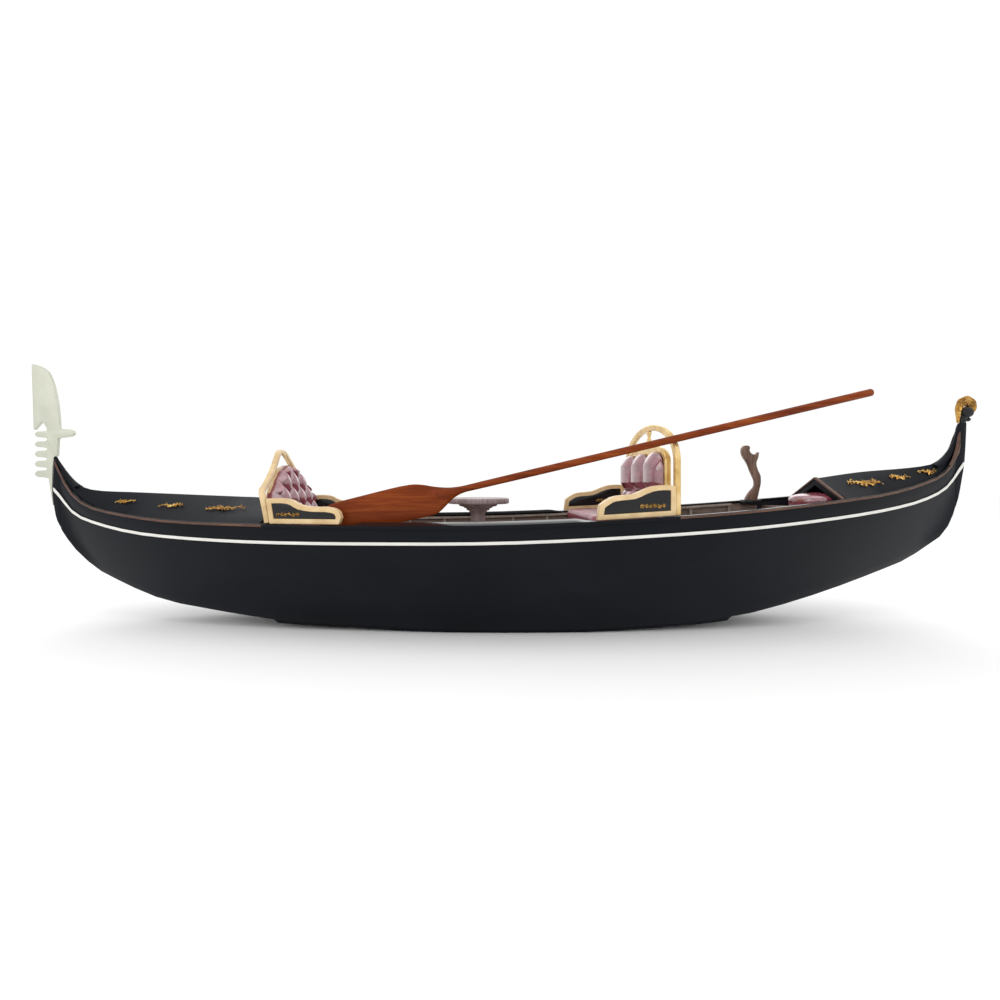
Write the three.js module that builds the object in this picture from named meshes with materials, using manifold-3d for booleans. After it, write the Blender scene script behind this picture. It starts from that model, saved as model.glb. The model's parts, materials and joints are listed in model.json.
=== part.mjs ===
// A gondola display model: black hull, steel ferro on the bow, two tufted seats, a pedestal
// table, a forcola (the rowlock) and an oar that leans on the after seat.
// Millimetres. +X runs from bow to stern, -Y is the port side, +Z is up.
// The origin is under the middle of the model, on the surface that its keel board stands on.

import * as THREE from "three";
import { mergeVertices } from "three/addons/utils/BufferGeometryUtils.js";
import Module from "manifold-3d";

// ---------------------------------------------------------------- driving dimensions

const HALF_BEAM = 125; // at the rim, amidships
const BOTTOM_HALF_BEAM = 76; // where the side meets the flat bottom
const HALF_LENGTH = 731; // of the rim's plan curve
const WIDEST_X = 5;
const BOTTOM_SHARE = 0.93; // of the rim's length at which the flat bottom comes to a point
const TURN = 1.6; // how fast the side turns under; 1 is a straight side
const PLANK = 5; // thickness of sides and bottom
const STEM_HALF = 3; // half the thickness of the stem and the stern post
const GAP = 0.3; // between pieces that touch
const FIT = 1.2; // between the curved planking and what stands against it
const SHELL_FROM = -714;
const SHELL_TO = 722;
const STATIONS = 36;

const CAP_WIDTH = 8;
const CAP_THICK = 3;
const MOULDING = 2; // stands this far out of the side, as the stripe nearly does
const STRIPE_TALL = 4.4;
const MOULDING_TALL = 3.2;
const INWALE_WIDE = 6;
const INWALE_TALL = 4;
const RIB_PITCH = 63.5;
const RIB_WIDE = 4;
const RIB_DEEP = 4;
const FIRST_RIB_X = -357.9;
const RIB_COUNT = 13;

const FLOOR_TOP = 110;
const DECK_THICK = 4;
const FORE_DECK_END = -358;
const BULKHEAD_X = -371;
const BULKHEAD_THICK = 4;
const AFT_DECK_START = 503;
const KEEL_THICK = 6;
const KEEL_FROM = -354;
const KEEL_TO = 335;

const ARM_THICK = 10;
const FRAME_THICK = 8;
const FRAME_STRIP = 7; // width of the wooden border round an armrest's black panel
const PANEL_SINK = 3;

const OAR_RADIUS = 5.2;
const OAR_SLOPE = 0.2375; // rise per unit of X
const OAR_DRIFT = -0.0247; // shift in Y per unit of X
const OAR_REST = [225, -99.8, 279.6]; // a point on its axis, beside the after seat's arch

// ---------------------------------------------------------------- the hull's lines

// A fair curve through a few [x, value] points, as a function of x.
function fair(points) {
  const slopes = points.map((p, i) => {
    const before = points[Math.max(0, i - 1)];
    const after = points[Math.min(points.length - 1, i + 1)];
    return (after[1] - before[1]) / (after[0] - before[0]);
  });
  return (x) => {
    let i = 0;
    while (i < points.length - 2 && x > points[i + 1][0]) i += 1;
    const [x0, v0] = points[i];
    const [x1, v1] = points[i + 1];
    const span = x1 - x0;
    const t = THREE.MathUtils.clamp((x - x0) / span, 0, 1);
    const rise = v0 * (1 + 2 * t) * (1 - t) ** 2 + v1 * t * t * (3 - 2 * t);
    return rise + span * t * (1 - t) * ((1 - t) * slopes[i] - t * slopes[i + 1]);
  };
}

const rimHeight = fair([
  [-726, 262], [-712, 235], [-692, 208], [-664, 189], [-625, 178], [-510, 165], [-368, 161.4],
  [-207, 160.2], [-3, 162.5], [188, 171], [353, 182], [502, 196], [588, 207], [674, 228],
  [702, 243], [718, 262], [727, 280], [731, 300],
]);

const bottomHeight = fair([
  [-722, 162], [-712, 142], [-692, 114], [-661, 86], [-630, 71], [-539, 40], [-453, 27],
  [-333, 14], [-218, 10.7], [-108, 6.7], [110, 6.7], [222, 11.6], [337, 20.3], [461, 47],
  [596, 85], [644, 101], [693, 129], [708, 145], [720, 171], [733, 227],
]);

const stripeHeight = fair([
  [-726, 210], [-712, 195], [-694, 177], [-668, 164], [-586, 147], [-511, 140], [-369, 135.4],
  [-173, 135.8], [-3, 138], [203, 147], [351, 156], [520, 172], [618, 186], [673, 200],
  [703, 214], [722, 232], [736, 251],
]);

const foreRidge = fair([
  [-712, 242], [-697, 224], [-684, 214], [-660, 207.5], [-597, 204.5], [-358, 194.4],
]);
const aftRidge = fair([[503, 227], [572, 237], [653, 244], [692, 251], [707, 262], [717, 274]]);

function along(x) {
  return (x - WIDEST_X) / HALF_LENGTH;
}

function rimBreadth(x) {
  return HALF_BEAM * (1 - along(x) ** 2);
}

function bottomBreadth(x) {
  return BOTTOM_HALF_BEAM * Math.max(0, 1 - (along(x) / BOTTOM_SHARE) ** 2);
}

// The cap rail narrows towards the ends, so that the decks reach almost to the posts.
function capWidth(x) {
  return CAP_WIDTH * Math.min(1, rimBreadth(x) / 30);
}

// Where a deck's edge meets the cap rail.
function deckBreadth(x) {
  return rimBreadth(x) - capWidth(x) - 2 * GAP;
}

// Outer half-breadth of the side at a height.
function sideBreadth(x, z) {
  const low = bottomHeight(x);
  const t = THREE.MathUtils.clamp((z - low) / (rimHeight(x) - low), 0, 1);
  const flare = 1 - (1 - t) ** TURN;
  return Math.max(STEM_HALF, bottomBreadth(x) + (rimBreadth(x) - bottomBreadth(x)) * flare);
}

function insideBreadth(x, z) {
  return Math.max(0.4, sideBreadth(x, z) - PLANK);
}

// Stations closer together towards the ends, where the lines curve most.
function stations(from, to, count) {
  const middle = (from + to) / 2;
  const half = (to - from) / 2;
  return Array.from({ length: count + 1 }, (_, i) => {
    return middle + half * Math.sin((Math.PI / 2) * ((2 * i) / count - 1));
  });
}

function evenly(from, to, count) {
  return Array.from({ length: count + 1 }, (_, i) => from + ((to - from) * i) / count);
}

// ---------------------------------------------------------------- making solids

const wasm = await Module();
wasm.setup();

function signedVolume(corners, faces) {
  const [a, b, c] = [new THREE.Vector3(), new THREE.Vector3(), new THREE.Vector3()];
  return faces.reduce((sum, [i, j, k]) => {
    a.fromArray(corners[i]);
    b.fromArray(corners[j]);
    c.fromArray(corners[k]);
    return sum + a.dot(b.cross(c)) / 6;
  }, 0);
}

// Triangles that close one end ring, wound the way that the ring itself runs.
function endFaces(ring) {
  const normal = new THREE.Vector3();
  ring.forEach((p, i) => {
    const q = ring[(i + 1) % ring.length];
    normal.x += (p[1] - q[1]) * (p[2] + q[2]);
    normal.y += (p[2] - q[2]) * (p[0] + q[0]);
    normal.z += (p[0] - q[0]) * (p[1] + q[1]);
  });
  const sizes = normal.toArray().map(Math.abs);
  const drop = sizes.indexOf(Math.max(...sizes));
  const [u, v] = [0, 1, 2].filter((axis) => axis !== drop);
  const flat = ring.map((p) => new THREE.Vector2(p[u], p[v]));
  const turned = THREE.ShapeUtils.isClockWise(flat);
  if (turned) flat.reverse();
  const last = ring.length - 1;
  return THREE.ShapeUtils.triangulateShape(flat, []).map((face) => {
    return turned ? face.map((i) => last - i).reverse() : face;
  });
}

// A closed solid through rings of [x, y, z] corners, each ring with the same number of them.
function loft(rings) {
  const n = rings[0].length;
  const corners = rings.flat();
  const faces = [];
  for (let r = 0; r + 1 < rings.length; r += 1) {
    for (let i = 0; i < n; i += 1) {
      const a = r * n + i;
      const b = r * n + ((i + 1) % n);
      faces.push([a, b, b + n], [a, b + n, a + n]);
    }
  }
  const start = corners.length - n;
  endFaces(rings[0]).forEach((face) => faces.push([...face].reverse()));
  endFaces(rings.at(-1)).forEach((face) => faces.push(face.map((i) => i + start)));
  const outward = signedVolume(corners, faces) > 0;
  const geometry = new THREE.BufferGeometry();
  geometry.setAttribute("position", new THREE.Float32BufferAttribute(corners.flat(), 3));
  geometry.setIndex(faces.flatMap((face) => (outward ? face : [...face].reverse())));
  return geometry;
}

function toManifold(geometry) {
  const bare = geometry.clone();
  bare.deleteAttribute("normal");
  bare.deleteAttribute("uv");
  const merged = mergeVertices(bare, 1e-3);
  const vertProperties = new Float32Array(merged.attributes.position.array);
  const triVerts = new Uint32Array(merged.index.array);
  return new wasm.Manifold(new wasm.Mesh({ numProp: 3, vertProperties, triVerts }));
}

function toGeometry(solid) {
  const made = solid.getMesh();
  const geometry = new THREE.BufferGeometry();
  geometry.setAttribute("position", new THREE.BufferAttribute(made.vertProperties, 3));
  geometry.setIndex(new THREE.BufferAttribute(made.triVerts, 1));
  return geometry;
}

function join(...pieces) {
  return toGeometry(pieces.map(toManifold).reduce((whole, piece) => whole.add(piece)));
}

function cut(piece, ...tools) {
  return toGeometry(tools.map(toManifold).reduce((rest, t) => rest.subtract(t), toManifold(piece)));
}

function shapeOf(outline, holes = []) {
  const shape = new THREE.Shape(outline.map(([u, v]) => new THREE.Vector2(u, v)));
  shape.holes = holes.map((hole) => new THREE.Path(hole.map(([u, v]) => new THREE.Vector2(u, v))));
  return shape;
}

// An outline of [x, z] points as a plate from y = near to y = far.
function sidePlate(outline, near, far) {
  const depth = Math.abs(far - near);
  const geometry = new THREE.ExtrudeGeometry(shapeOf(outline), { depth, bevelEnabled: false });
  return geometry.rotateX(Math.PI / 2).translate(0, Math.max(near, far), 0);
}

// An outline of [y, z] points, which may have holes, as a plate from x = from, thick along +X.
function crossPlate(outline, from, thick, holes = []) {
  const shape = shapeOf(outline, holes);
  const geometry = new THREE.ExtrudeGeometry(shape, { depth: thick, bevelEnabled: false });
  const turn = new THREE.Matrix4().makeBasis(
    new THREE.Vector3(0, 1, 0),
    new THREE.Vector3(0, 0, 1),
    new THREE.Vector3(1, 0, 0),
  );
  return geometry.applyMatrix4(turn).translate(from, 0, 0);
}

// An outline of [x, y] points as a slab from z = low to z = high.
function slab(outline, low, high) {
  const options = { depth: high - low, bevelEnabled: false };
  return new THREE.ExtrudeGeometry(shapeOf(outline), options).translate(0, 0, low);
}

function box(from, to) {
  const [x, y, z] = to.map((v, i) => v - from[i]);
  const middle = to.map((v, i) => (v + from[i]) / 2);
  return new THREE.BoxGeometry(x, y, z).translate(...middle);
}

// A turned piece: a profile of [radius, z] from axis to axis, lowest point first.
function turned(profile, sides, x, y) {
  const points = profile.map(([r, z]) => new THREE.Vector2(r, z));
  return new THREE.LatheGeometry(points, sides).rotateX(Math.PI / 2).translate(x, y, 0);
}

// Points along a smooth curve through a few points.
function smooth(points, count) {
  const curve = new THREE.SplineCurve(points.map(([u, v]) => new THREE.Vector2(u, v)));
  return curve.getPoints(count).map((p) => [p.x, p.y]);
}

function arc(u, v, radiusU, radiusV, from, to, count) {
  return evenly(from, to, count).map((degrees) => {
    const angle = THREE.MathUtils.degToRad(degrees);
    return [u + radiusU * Math.cos(angle), v + radiusV * Math.sin(angle)];
  });
}

// Half an outline, from its foot up to the middle line, with its mirror image.
function bothHalves(half) {
  const other = half.filter(([u]) => u > 0).reverse();
  return [...half, ...other.map(([u, v]) => [-u, v])];
}

// An outline moved inwards by the same distance all round.
function inset(outline, distance) {
  const area = THREE.ShapeUtils.area(outline.map(([x, y]) => ({ x, y })));
  const sign = Math.sign(area);
  const n = outline.length;
  const edgeNormal = (a, b) => new THREE.Vector2(-(b[1] - a[1]), b[0] - a[0]).normalize();
  return outline.map((p, i) => {
    const before = edgeNormal(outline[(i + n - 1) % n], p);
    const after = edgeNormal(p, outline[(i + 1) % n]);
    const way = before.clone().add(after).normalize();
    const reach = (sign * distance) / Math.max(0.5, way.dot(after));
    return [p[0] + way.x * reach, p[1] + way.y * reach];
  });
}

// ---------------------------------------------------------------- materials and naming

const finishes = {
  blackHull: { color: 0x0d1014, roughness: 0.45, metalness: 0 },
  blackGloss: { color: 0x0a0a0b, roughness: 0.15, metalness: 0 },
  stripe: { color: 0xf2efe8, roughness: 0.5, metalness: 0 },
  brownTrim: { color: 0x5a3420, roughness: 0.5, metalness: 0 },
  floorWood: { color: 0x4b3526, roughness: 0.6, metalness: 0 },
  darkWood: { color: 0x2c211b, roughness: 0.55, metalness: 0 },
  tableWood: { color: 0x7c6558, roughness: 0.55, metalness: 0 },
  walnut: { color: 0x6b3f24, roughness: 0.4, metalness: 0 },
  mahogany: { color: 0xa4461d, roughness: 0.35, metalness: 0 },
  goldWood: { color: 0xd9bd83, roughness: 0.4, metalness: 0.2 },
  gold: { color: 0xd8a23a, roughness: 0.3, metalness: 0.9 },
  steel: { color: 0xd0d0c6, roughness: 0.35, metalness: 0.8 },
  burgundy: { color: 0x7a2433, roughness: 0.35, metalness: 0 },
};

const group = new THREE.Group();

// Every node is a mesh with its own name and its own material.
function node(name, geometry, finish, parent = group) {
  const flat = geometry.index ? geometry.toNonIndexed() : geometry;
  flat.computeVertexNormals();
  const mesh = new THREE.Mesh(flat, new THREE.MeshStandardMaterial(finishes[finish]));
  mesh.name = name;
  parent.add(mesh);
  return mesh;
}

const SIDES = { port: -1, starboard: 1 };

// ---------------------------------------------------------------- hull

const shellStations = stations(SHELL_FROM, SHELL_TO, STATIONS);

// One side of the hull: outer face from the rim down, then the inner face back up.
function hullSide(side) {
  const shares = [1, 0.85, 0.6, 0.3, 0.1, 0];
  return loft(shellStations.map((x) => {
    const low = bottomHeight(x);
    const high = rimHeight(x) - CAP_THICK - GAP;
    const heights = shares.map((share) => low + (high - low) * share);
    const outer = heights.map((z) => [x, side * sideBreadth(x, z), z]);
    const inner = [...heights].reverse().map((z) => [x, side * insideBreadth(x, z), z]);
    return [...outer, ...inner];
  }));
}

function hullBottom() {
  const reach = (x) => bottomBreadth(x) - PLANK - GAP;
  const aft = stations(-630, 640, 24);
  return loft(aft.map((x) => {
    const [low, high] = [bottomHeight(x), bottomHeight(x) + PLANK];
    return [[x, -reach(x), low], [x, reach(x), low], [x, reach(x), high], [x, -reach(x), high]];
  }));
}

// The sole that the model stands on: flat amidships, following the rocker towards its ends.
function keelBoard() {
  const chamfer = 8;
  const places = [KEEL_FROM, ...evenly(KEEL_FROM + chamfer, KEEL_TO - chamfer, 16), KEEL_TO];
  return loft(places.map((x) => {
    const reach = bottomBreadth(x) - PLANK;
    const top = bottomHeight(x) - GAP;
    const isEnd = x === KEEL_FROM || x === KEEL_TO;
    const low = Math.max(0, isEnd ? top - 1 : top - KEEL_THICK);
    return [[x, -reach, Math.min(low, top - 1)], [x, reach, Math.min(low, top - 1)],
      [x, reach, top], [x, -reach, top]];
  }));
}

// The posts rise over the rim's ends to meet the ridges of the decks.
function stemPost() {
  const back = SHELL_FROM - GAP;
  const front = smooth([[back, 147], [-722, 163], [-726.5, 190], [-727.4, 215], [-725, 261]], 10);
  return sidePlate([...front, [-718.5, 251], [-711.6, 241.5], [-711.6, 235.6], [back, 240]],
    -STEM_HALF, STEM_HALF);
}

function sternPost() {
  const front = SHELL_TO + GAP;
  const aftEdge = smooth([[front, 178], [728, 195], [734, 228], [738, 255], [740.5, 300]], 8);
  const foreEdge = smooth([[732.5, 316], [729, 308], [726.5, 296], [722.5, 283], [716.6, 273.5]], 8);
  return sidePlate([...aftEdge, [741, 316], ...foreEdge, [716.6, 261.5], [front, 271.6]],
    -STEM_HALF, STEM_HALF);
}

// How much taller an upright cut through a strip is where the strip climbs steeply.
function steepness(line, x) {
  return Math.min(4, Math.hypot(1, (line(x + 2) - line(x - 2)) / 4));
}

// A strip that runs round the side: section gives its corners at a station.
function strip(from, to, count, section) {
  return loft(stations(from, to, count).map(section));
}

function capRail(side) {
  return strip(SHELL_FROM, SHELL_TO, STATIONS, (x) => {
    const outer = rimBreadth(x) + GAP;
    const inner = Math.max(0.4, rimBreadth(x) - capWidth(x));
    const [low, high] = [rimHeight(x) - CAP_THICK, rimHeight(x)];
    return [[x, side * inner, low], [x, side * outer, low],
      [x, side * outer, high], [x, side * inner, high]];
  });
}

function moulding(side) {
  return strip(-723, 729.5, STATIONS + 4, (x) => {
    const inner = Math.max(STEM_HALF, rimBreadth(x)) + 2 * GAP;
    const outer = inner + MOULDING - GAP;
    const high = rimHeight(x) - 0.8;
    const low = high - MOULDING_TALL * steepness(rimHeight, x);
    return [[x, side * inner, low], [x, side * outer, low],
      [x, side * outer, high], [x, side * inner, high]];
  });
}

function stripe(side) {
  return strip(-725.5, 735.5, STATIONS + 4, (x) => {
    const tall = STRIPE_TALL * steepness(stripeHeight, x);
    const low = stripeHeight(x) - tall / 2;
    const high = low + tall;
    const inLow = sideBreadth(x, low) + 2 * GAP;
    const inHigh = sideBreadth(x, high) + 2 * GAP;
    return [[x, side * inLow, low], [x, side * (inLow + 1), low],
      [x, side * (inHigh + 1), high], [x, side * inHigh, high]];
  });
}

// The ribs of one side with the inwale that they all reach up to.
function ribs(side) {
  const lastX = FIRST_RIB_X + RIB_PITCH * (RIB_COUNT - 1);
  const inwale = strip(FIRST_RIB_X - 3, lastX + 3, 20, (x) => {
    const high = rimHeight(x) - CAP_THICK - 2 * GAP;
    const low = high - INWALE_TALL;
    const outer = insideBreadth(x, low) - FIT;
    const inner = outer - INWALE_WIDE;
    return [[x, side * inner, low], [x, side * outer, low],
      [x, side * outer, high], [x, side * inner, high]];
  });
  const frames = Array.from({ length: RIB_COUNT }, (_, i) => {
    const x = FIRST_RIB_X + RIB_PITCH * i;
    const foot = FLOOR_TOP + GAP;
    const head = rimHeight(x) - CAP_THICK - INWALE_TALL / 2;
    return loft(evenly(foot, head, 3).map((z) => {
      const breadth = Math.min(...[-1, 1].map((end) => insideBreadth(x + end * RIB_WIDE, z)));
      const outer = side * (breadth - FIT);
      const inner = outer - side * RIB_DEEP;
      const half = RIB_WIDE / 2;
      return [[x - half, inner, z], [x + half, inner, z], [x + half, outer, z], [x - half, outer, z]];
    }));
  });
  return join(inwale, ...frames);
}

// A level board from side to side of the hull, clear of the planking by a margin.
function hullBoard(from, to, low, high, margin, count = 12) {
  return loft(evenly(from, to, count).map((x) => {
    const reach = Math.min(insideBreadth(x, low), insideBreadth(x, high)) - margin;
    return [[x, -reach, low], [x, reach, low], [x, reach, high], [x, -reach, high]];
  }));
}

function cockpitFloor() {
  const from = BULKHEAD_X + BULKHEAD_THICK + 2 * GAP;
  return hullBoard(from, 500, FLOOR_TOP - PLANK, FLOOR_TOP, FIT, 24);
}

function foreBulkhead() {
  const x = BULKHEAD_X;
  const deckEdge = deckBreadth(x) - 1;
  const top = rimHeight(x) - CAP_THICK - 3 * GAP;
  const sides = evenly(FLOOR_TOP - PLANK, top - DECK_THICK, 4).map((z) => {
    return [insideBreadth(x - 3, z) - FIT, z];
  });
  const half = [[0, FLOOR_TOP - PLANK], ...sides, [deckEdge, top - DECK_THICK],
    [0, foreRidge(x) - DECK_THICK - 1]];
  return crossPlate(bothHalves(half), x, BULKHEAD_THICK);
}

// A ridged deck: two slopes from the rim up to the middle line.
function deck(from, to, count, ridge) {
  return loft(stations(from, to, count).map((x) => {
    const reach = deckBreadth(x);
    const edge = rimHeight(x) - 0.5;
    const top = Math.max(ridge(x), edge + 1);
    const low = edge - CAP_THICK + 1;
    return [[x, -reach, low], [x, -reach, edge], [x, 0, top],
      [x, reach, edge], [x, reach, low], [x, 0, top - DECK_THICK]];
  }));
}

// The board in front of the after deck, which follows its two slopes.
function aftGable() {
  const x = AFT_DECK_START;
  const thick = 4;
  const depth = 12;
  const reach = deckBreadth(x + thick) - 2.4;
  const edge = rimHeight(x) - 0.5;
  const peak = aftRidge(x) + 0.4;
  const half = [[0, peak - depth], [reach, edge - depth], [reach, edge], [0, peak]];
  return crossPlate([...half, [-reach, edge], [-reach, edge - depth]], x - thick - GAP, thick);
}

// The board behind the after seat, hollowed on its after edge.
function thwart() {
  const front = 250;
  const clear = PLANK + INWALE_WIDE + FIT + 4 * GAP;
  const edge = evenly(-1, 1, 12).map((share) => {
    const x = 262 + 50 * share * share;
    return [x, share * (rimBreadth(x) - clear - 1)];
  });
  const reach = rimBreadth(front) - clear - 1;
  return slab([...edge, [front, reach], [front, -reach]], 160, 164);
}

// The raised step under the after deck, with a riser down to the floor.
function aftPlatform() {
  const top = hullBoard(456, 540, 174, 180, FIT, 6);
  const riser = hullBoard(456, 460, FLOOR_TOP + GAP, 175, FIT, 1);
  return join(top, riser);
}

// A round-ended pad with a crowned top, given as rings going up.
function aftPad() {
  const [middle, halfLong, halfWide] = [504, 44, 36];
  const levels = [[180.3, 0.94], [186, 1], [193, 0.95], [198, 0.8], [202, 0.45]];
  return loft(levels.map(([z, share]) => {
    return arc(middle, 0, halfLong * share, halfWide * share, 15, 360, 23).map(([x, y]) => [x, y, z]);
  }));
}

for (const [word, side] of Object.entries(SIDES)) {
  node(`hull_side_${word}`, hullSide(side), "blackHull");
  node(`cap_rail_${word}`, capRail(side), "blackGloss");
  node(`moulding_${word}`, moulding(side), "brownTrim");
  node(`stripe_${word}`, stripe(side), "stripe");
  node(`ribs_${word}`, ribs(side), "darkWood");
}
node("hull_bottom", hullBottom(), "blackHull");
node("keel_board", keelBoard(), "blackHull");
node("stem_post", stemPost(), "blackHull");
node("stern_post", sternPost(), "blackHull");
node("cockpit_floor", cockpitFloor(), "floorWood");
node("fore_bulkhead", foreBulkhead(), "darkWood");
node("fore_deck", deck(-711, FORE_DECK_END, 22, foreRidge), "blackHull");
node("aft_deck", deck(AFT_DECK_START, 716, 16, aftRidge), "blackHull");
node("aft_gable_board", aftGable(), "blackHull");
node("aft_platform", aftPlatform(), "darkWood");
node("aft_pad", aftPad(), "burgundy");
node("thwart", thwart(), "blackGloss");

// ---------------------------------------------------------------- ornaments

// The ferro: a steel blade on the stem with a row of forward prongs and one that points aft.
function ferro() {
  const root = -737;
  const tip = -757.5;
  const prongs = [[302, 292], [286, 276], [271, 260], [255, 244], [239, 228]];
  const comb = prongs.flatMap(([high, low]) => [[root, high], [tip + 4, high - 0.5],
    [tip, (high + low) / 2 + 2], [tip, (high + low) / 2 - 2], [tip + 4, low + 0.5], [root, low]]);
  const blade = smooth([[-761.8, 410.6], [-751, 408.5], [-741, 402], [-734, 394], [-726, 373],
    [-720, 340], [-717.5, 305]], 14);
  const aftProng = [[-701, 305], [-695.5, 302], [-694, 298], [-697, 294.5], [-703, 293.5], [-721, 291]];
  const strap = smooth([[-725.6, 264], [-728.4, 240], [-728.8, 205], [-726.9, 182]], 5);
  const notch = [[-738.5, 310], [-745, 318.5], [-758.4, 303.5]];
  return sidePlate([...blade, ...aftProng, ...strap, [-730, 196], [-734.5, 226],
    ...comb.reverse(), ...notch], -2.5, 2.5);
}

// The curl on the stern post: a black scroll with a gilded leaf over it.
const CURL = [743, 334];

function sternVolute() {
  const disc = arc(...CURL, 9, 9, -55, 220, 16);
  return sidePlate([[741, 316.3], ...disc, [733, 316.3]], -6, 6);
}

function sternLeaf() {
  const outer = arc(CURL[0] + 1.5, CURL[1] + 7, 17, 18.2, -62, 190, 18);
  const tail = [[727.5, 328], [728.5, 319], [731, 318.5], [732.2, 326]];
  const inner = arc(...CURL, 10, 10, 190, -45, 12);
  return sidePlate([...outer, ...tail, ...inner], -5, 5);
}

// A flat spray of leaves, whose outline swells and narrows along its length.
function spray(long, wide) {
  const lobes = 5;
  const outline = evenly(0, 360, 40).slice(1).map((degrees) => {
    const angle = THREE.MathUtils.degToRad(degrees);
    const swell = 0.85 + 0.15 * Math.cos(lobes * 2 * angle);
    return [(long / 2) * swell * Math.cos(angle), (wide / 2) * swell * Math.sin(angle)];
  });
  return slab(outline, 0, 1);
}

// Sprays lie on both slopes of the decks, the largest nearest the cockpit.
const SPRAYS = {
  bow: [[-432, 64, 16], [-522, 41, 11], [-600, 36, 9]],
  stern: [[560, 55, 18], [623, 36, 12], [671, 32, 9]],
};

// A place halfway down one slope of a deck, with X along the deck and Z out of the slope.
function onSlope(x, side, ridge) {
  const point = (at, share) => {
    const drop = share * (ridge(at) - rimHeight(at) + 0.5);
    return new THREE.Vector3(at, side * share * deckBreadth(at), ridge(at) - drop);
  };
  const forward = point(x + 12, 0.5).sub(point(x - 12, 0.5)).normalize();
  const across = point(x, 0.6).sub(point(x, 0.4)).multiplyScalar(side).normalize();
  const up = forward.clone().cross(across).normalize();
  across.crossVectors(up, forward);
  const seat = new THREE.Group();
  seat.quaternion.setFromRotationMatrix(new THREE.Matrix4().makeBasis(forward, across, up));
  seat.position.copy(point(x, 0.5)).addScaledVector(up, 4 * GAP);
  return seat;
}

function placeSprays(deckName, ridge) {
  SPRAYS[deckName].forEach(([x, long, wide], i) => {
    for (const [word, side] of Object.entries(SIDES)) {
      const seat = onSlope(x, side, ridge);
      group.add(seat);
      node(`${deckName}_spray_${i + 1}_${word}`, spray(long, wide), "gold", seat);
    }
  });
}

node("ferro", ferro(), "steel");
node("stern_volute", sternVolute(), "blackGloss");
node("stern_leaf", sternLeaf(), "gold");
placeSprays("bow", foreRidge);
placeSprays("stern", aftRidge);

// ---------------------------------------------------------------- seats

// An armrest on the cap rail: side gives its outline as [x, z]; its panel is let into the face.
function armrest(seat, outline, word) {
  const side = SIDES[word];
  const xs = outline.map(([x]) => x);
  const [from, to] = [Math.min(...xs), Math.max(...xs)];
  const face = (x) => rimBreadth(x) - seat.armSetIn;
  const local = outline.map(([x, z]) => [x - from, z]);
  const border = inset(local, FRAME_STRIP);
  const wood = sidePlate(local, 0, -side * ARM_THICK);
  const pocket = sidePlate(border, side, -side * PANEL_SINK);
  const panel = sidePlate(inset(border, GAP), -side, -side * (PANEL_SINK - GAP));
  const place = new THREE.Group();
  place.position.set(from, side * face(from), 0);
  place.rotation.z = side * Math.atan((face(to) - face(from)) / (to - from));
  group.add(place);
  node(`${seat.name}_arm_${word}`, cut(wood, pocket), "goldWood", place);
  node(`${seat.name}_arm_panel_${word}`, panel, "blackGloss", place);
}

// A cushion between two half-outlines of its back and its front, given as rings going up.
function backCushion(levels) {
  return loft(levels.map(([z, half, back, front]) => {
    const round = Math.min(6, half / 2);
    return [[back, -half, z], [back, half, z], [front, half - round, z], [front, -half + round, z]];
  }));
}

// A seat cushion with a crowned top and rounded front corners.
function seatCushion(from, to, half, low, high) {
  return loft([[low, 0], [high - 6, 0], [high - 2, 3], [high, 9]].map(([z, drawIn]) => {
    const [x0, x1, y] = [from + drawIn, to - drawIn, half - drawIn];
    return [[x0, -y, z], [x1, -y, z], [x1, y, z], [x0, y, z]];
  }));
}

const bowChair = { name: "bow_chair", armSetIn: 0.5, lean: -THREE.MathUtils.degToRad(9.3) };

// An ogee arch that stands on the cap rails, with a rail behind the seat and an open panel.
function bowChairBack() {
  const foot = 162.4;
  const outer = bothHalves([[0, 169], [86.5, 169], [86.5, foot], [94.5, foot], [98, 200], [98, 207],
    ...smooth([[86, 215], [63, 231], [46, 244], [18, 269]], 8), [0, 273]]);
  const hole = bothHalves([[0, 178], [84, 178], [88.5, 203],
    ...smooth([[79, 209], [58, 224], [41, 236], [15, 260]], 6), [0, 264]]);
  const ring = crossPlate(outer, -FRAME_THICK / 2, FRAME_THICK, [hole]);
  const strut = box([-3, -4, 249], [3, 4, 266]);
  const panel = bothHalves([[0, 178.5], [76, 178.5], [78, 196],
    ...smooth([[72, 205], [50, 221], [30, 238]], 6), [0, 246]]);
  const lean = new THREE.Group();
  lean.position.set(-350, 0, 200);
  lean.rotation.y = bowChair.lean;
  group.add(lean);
  const drop = (geometry) => geometry.translate(0, 0, -200);
  node("bow_chair_back_frame", drop(join(ring, strut)), "goldWood", lean);
  node("bow_chair_back_panel", drop(crossPlate(panel, -3, 6)), "goldWood", lean);
}

function bowChairSeat() {
  const narrowX = -282;
  const outline = [[-350, 76], [narrowX, 86], [narrowX, 81], [-244, 81]];
  const mirrored = [...outline].reverse().map(([x, y]) => [x, -y]);
  node("bow_chair_seat_base", slab([...outline, ...mirrored], FLOOR_TOP + GAP, 150), "darkWood");
  const cushion = seatCushion(-331, -240, 80, 150.4, 166);
  node("bow_chair_seat_cushion", cushion, "burgundy");
  const back = backCushion([
    [167, 78, -336, -321], [183, 80, -341, -326], [206, 70, -345, -333],
    [224, 50, -348, -341], [238, 34, -350.5, -345], [246, 14, -352.5, -348.5],
  ]);
  node("bow_chair_back_cushion", back, "burgundy");
}

const bowArm = [[-339, 161.8], [-237, 161.8], ...smooth([[-233.5, 171], [-238, 181],
  [-252, 185.5], [-276, 186], [-295, 189], [-306, 195], [-320, 197.6], [-344.7, 197]], 16)];

bowChairBack();
bowChairSeat();
for (const word of Object.keys(SIDES)) armrest(bowChair, bowArm, word);

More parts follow.
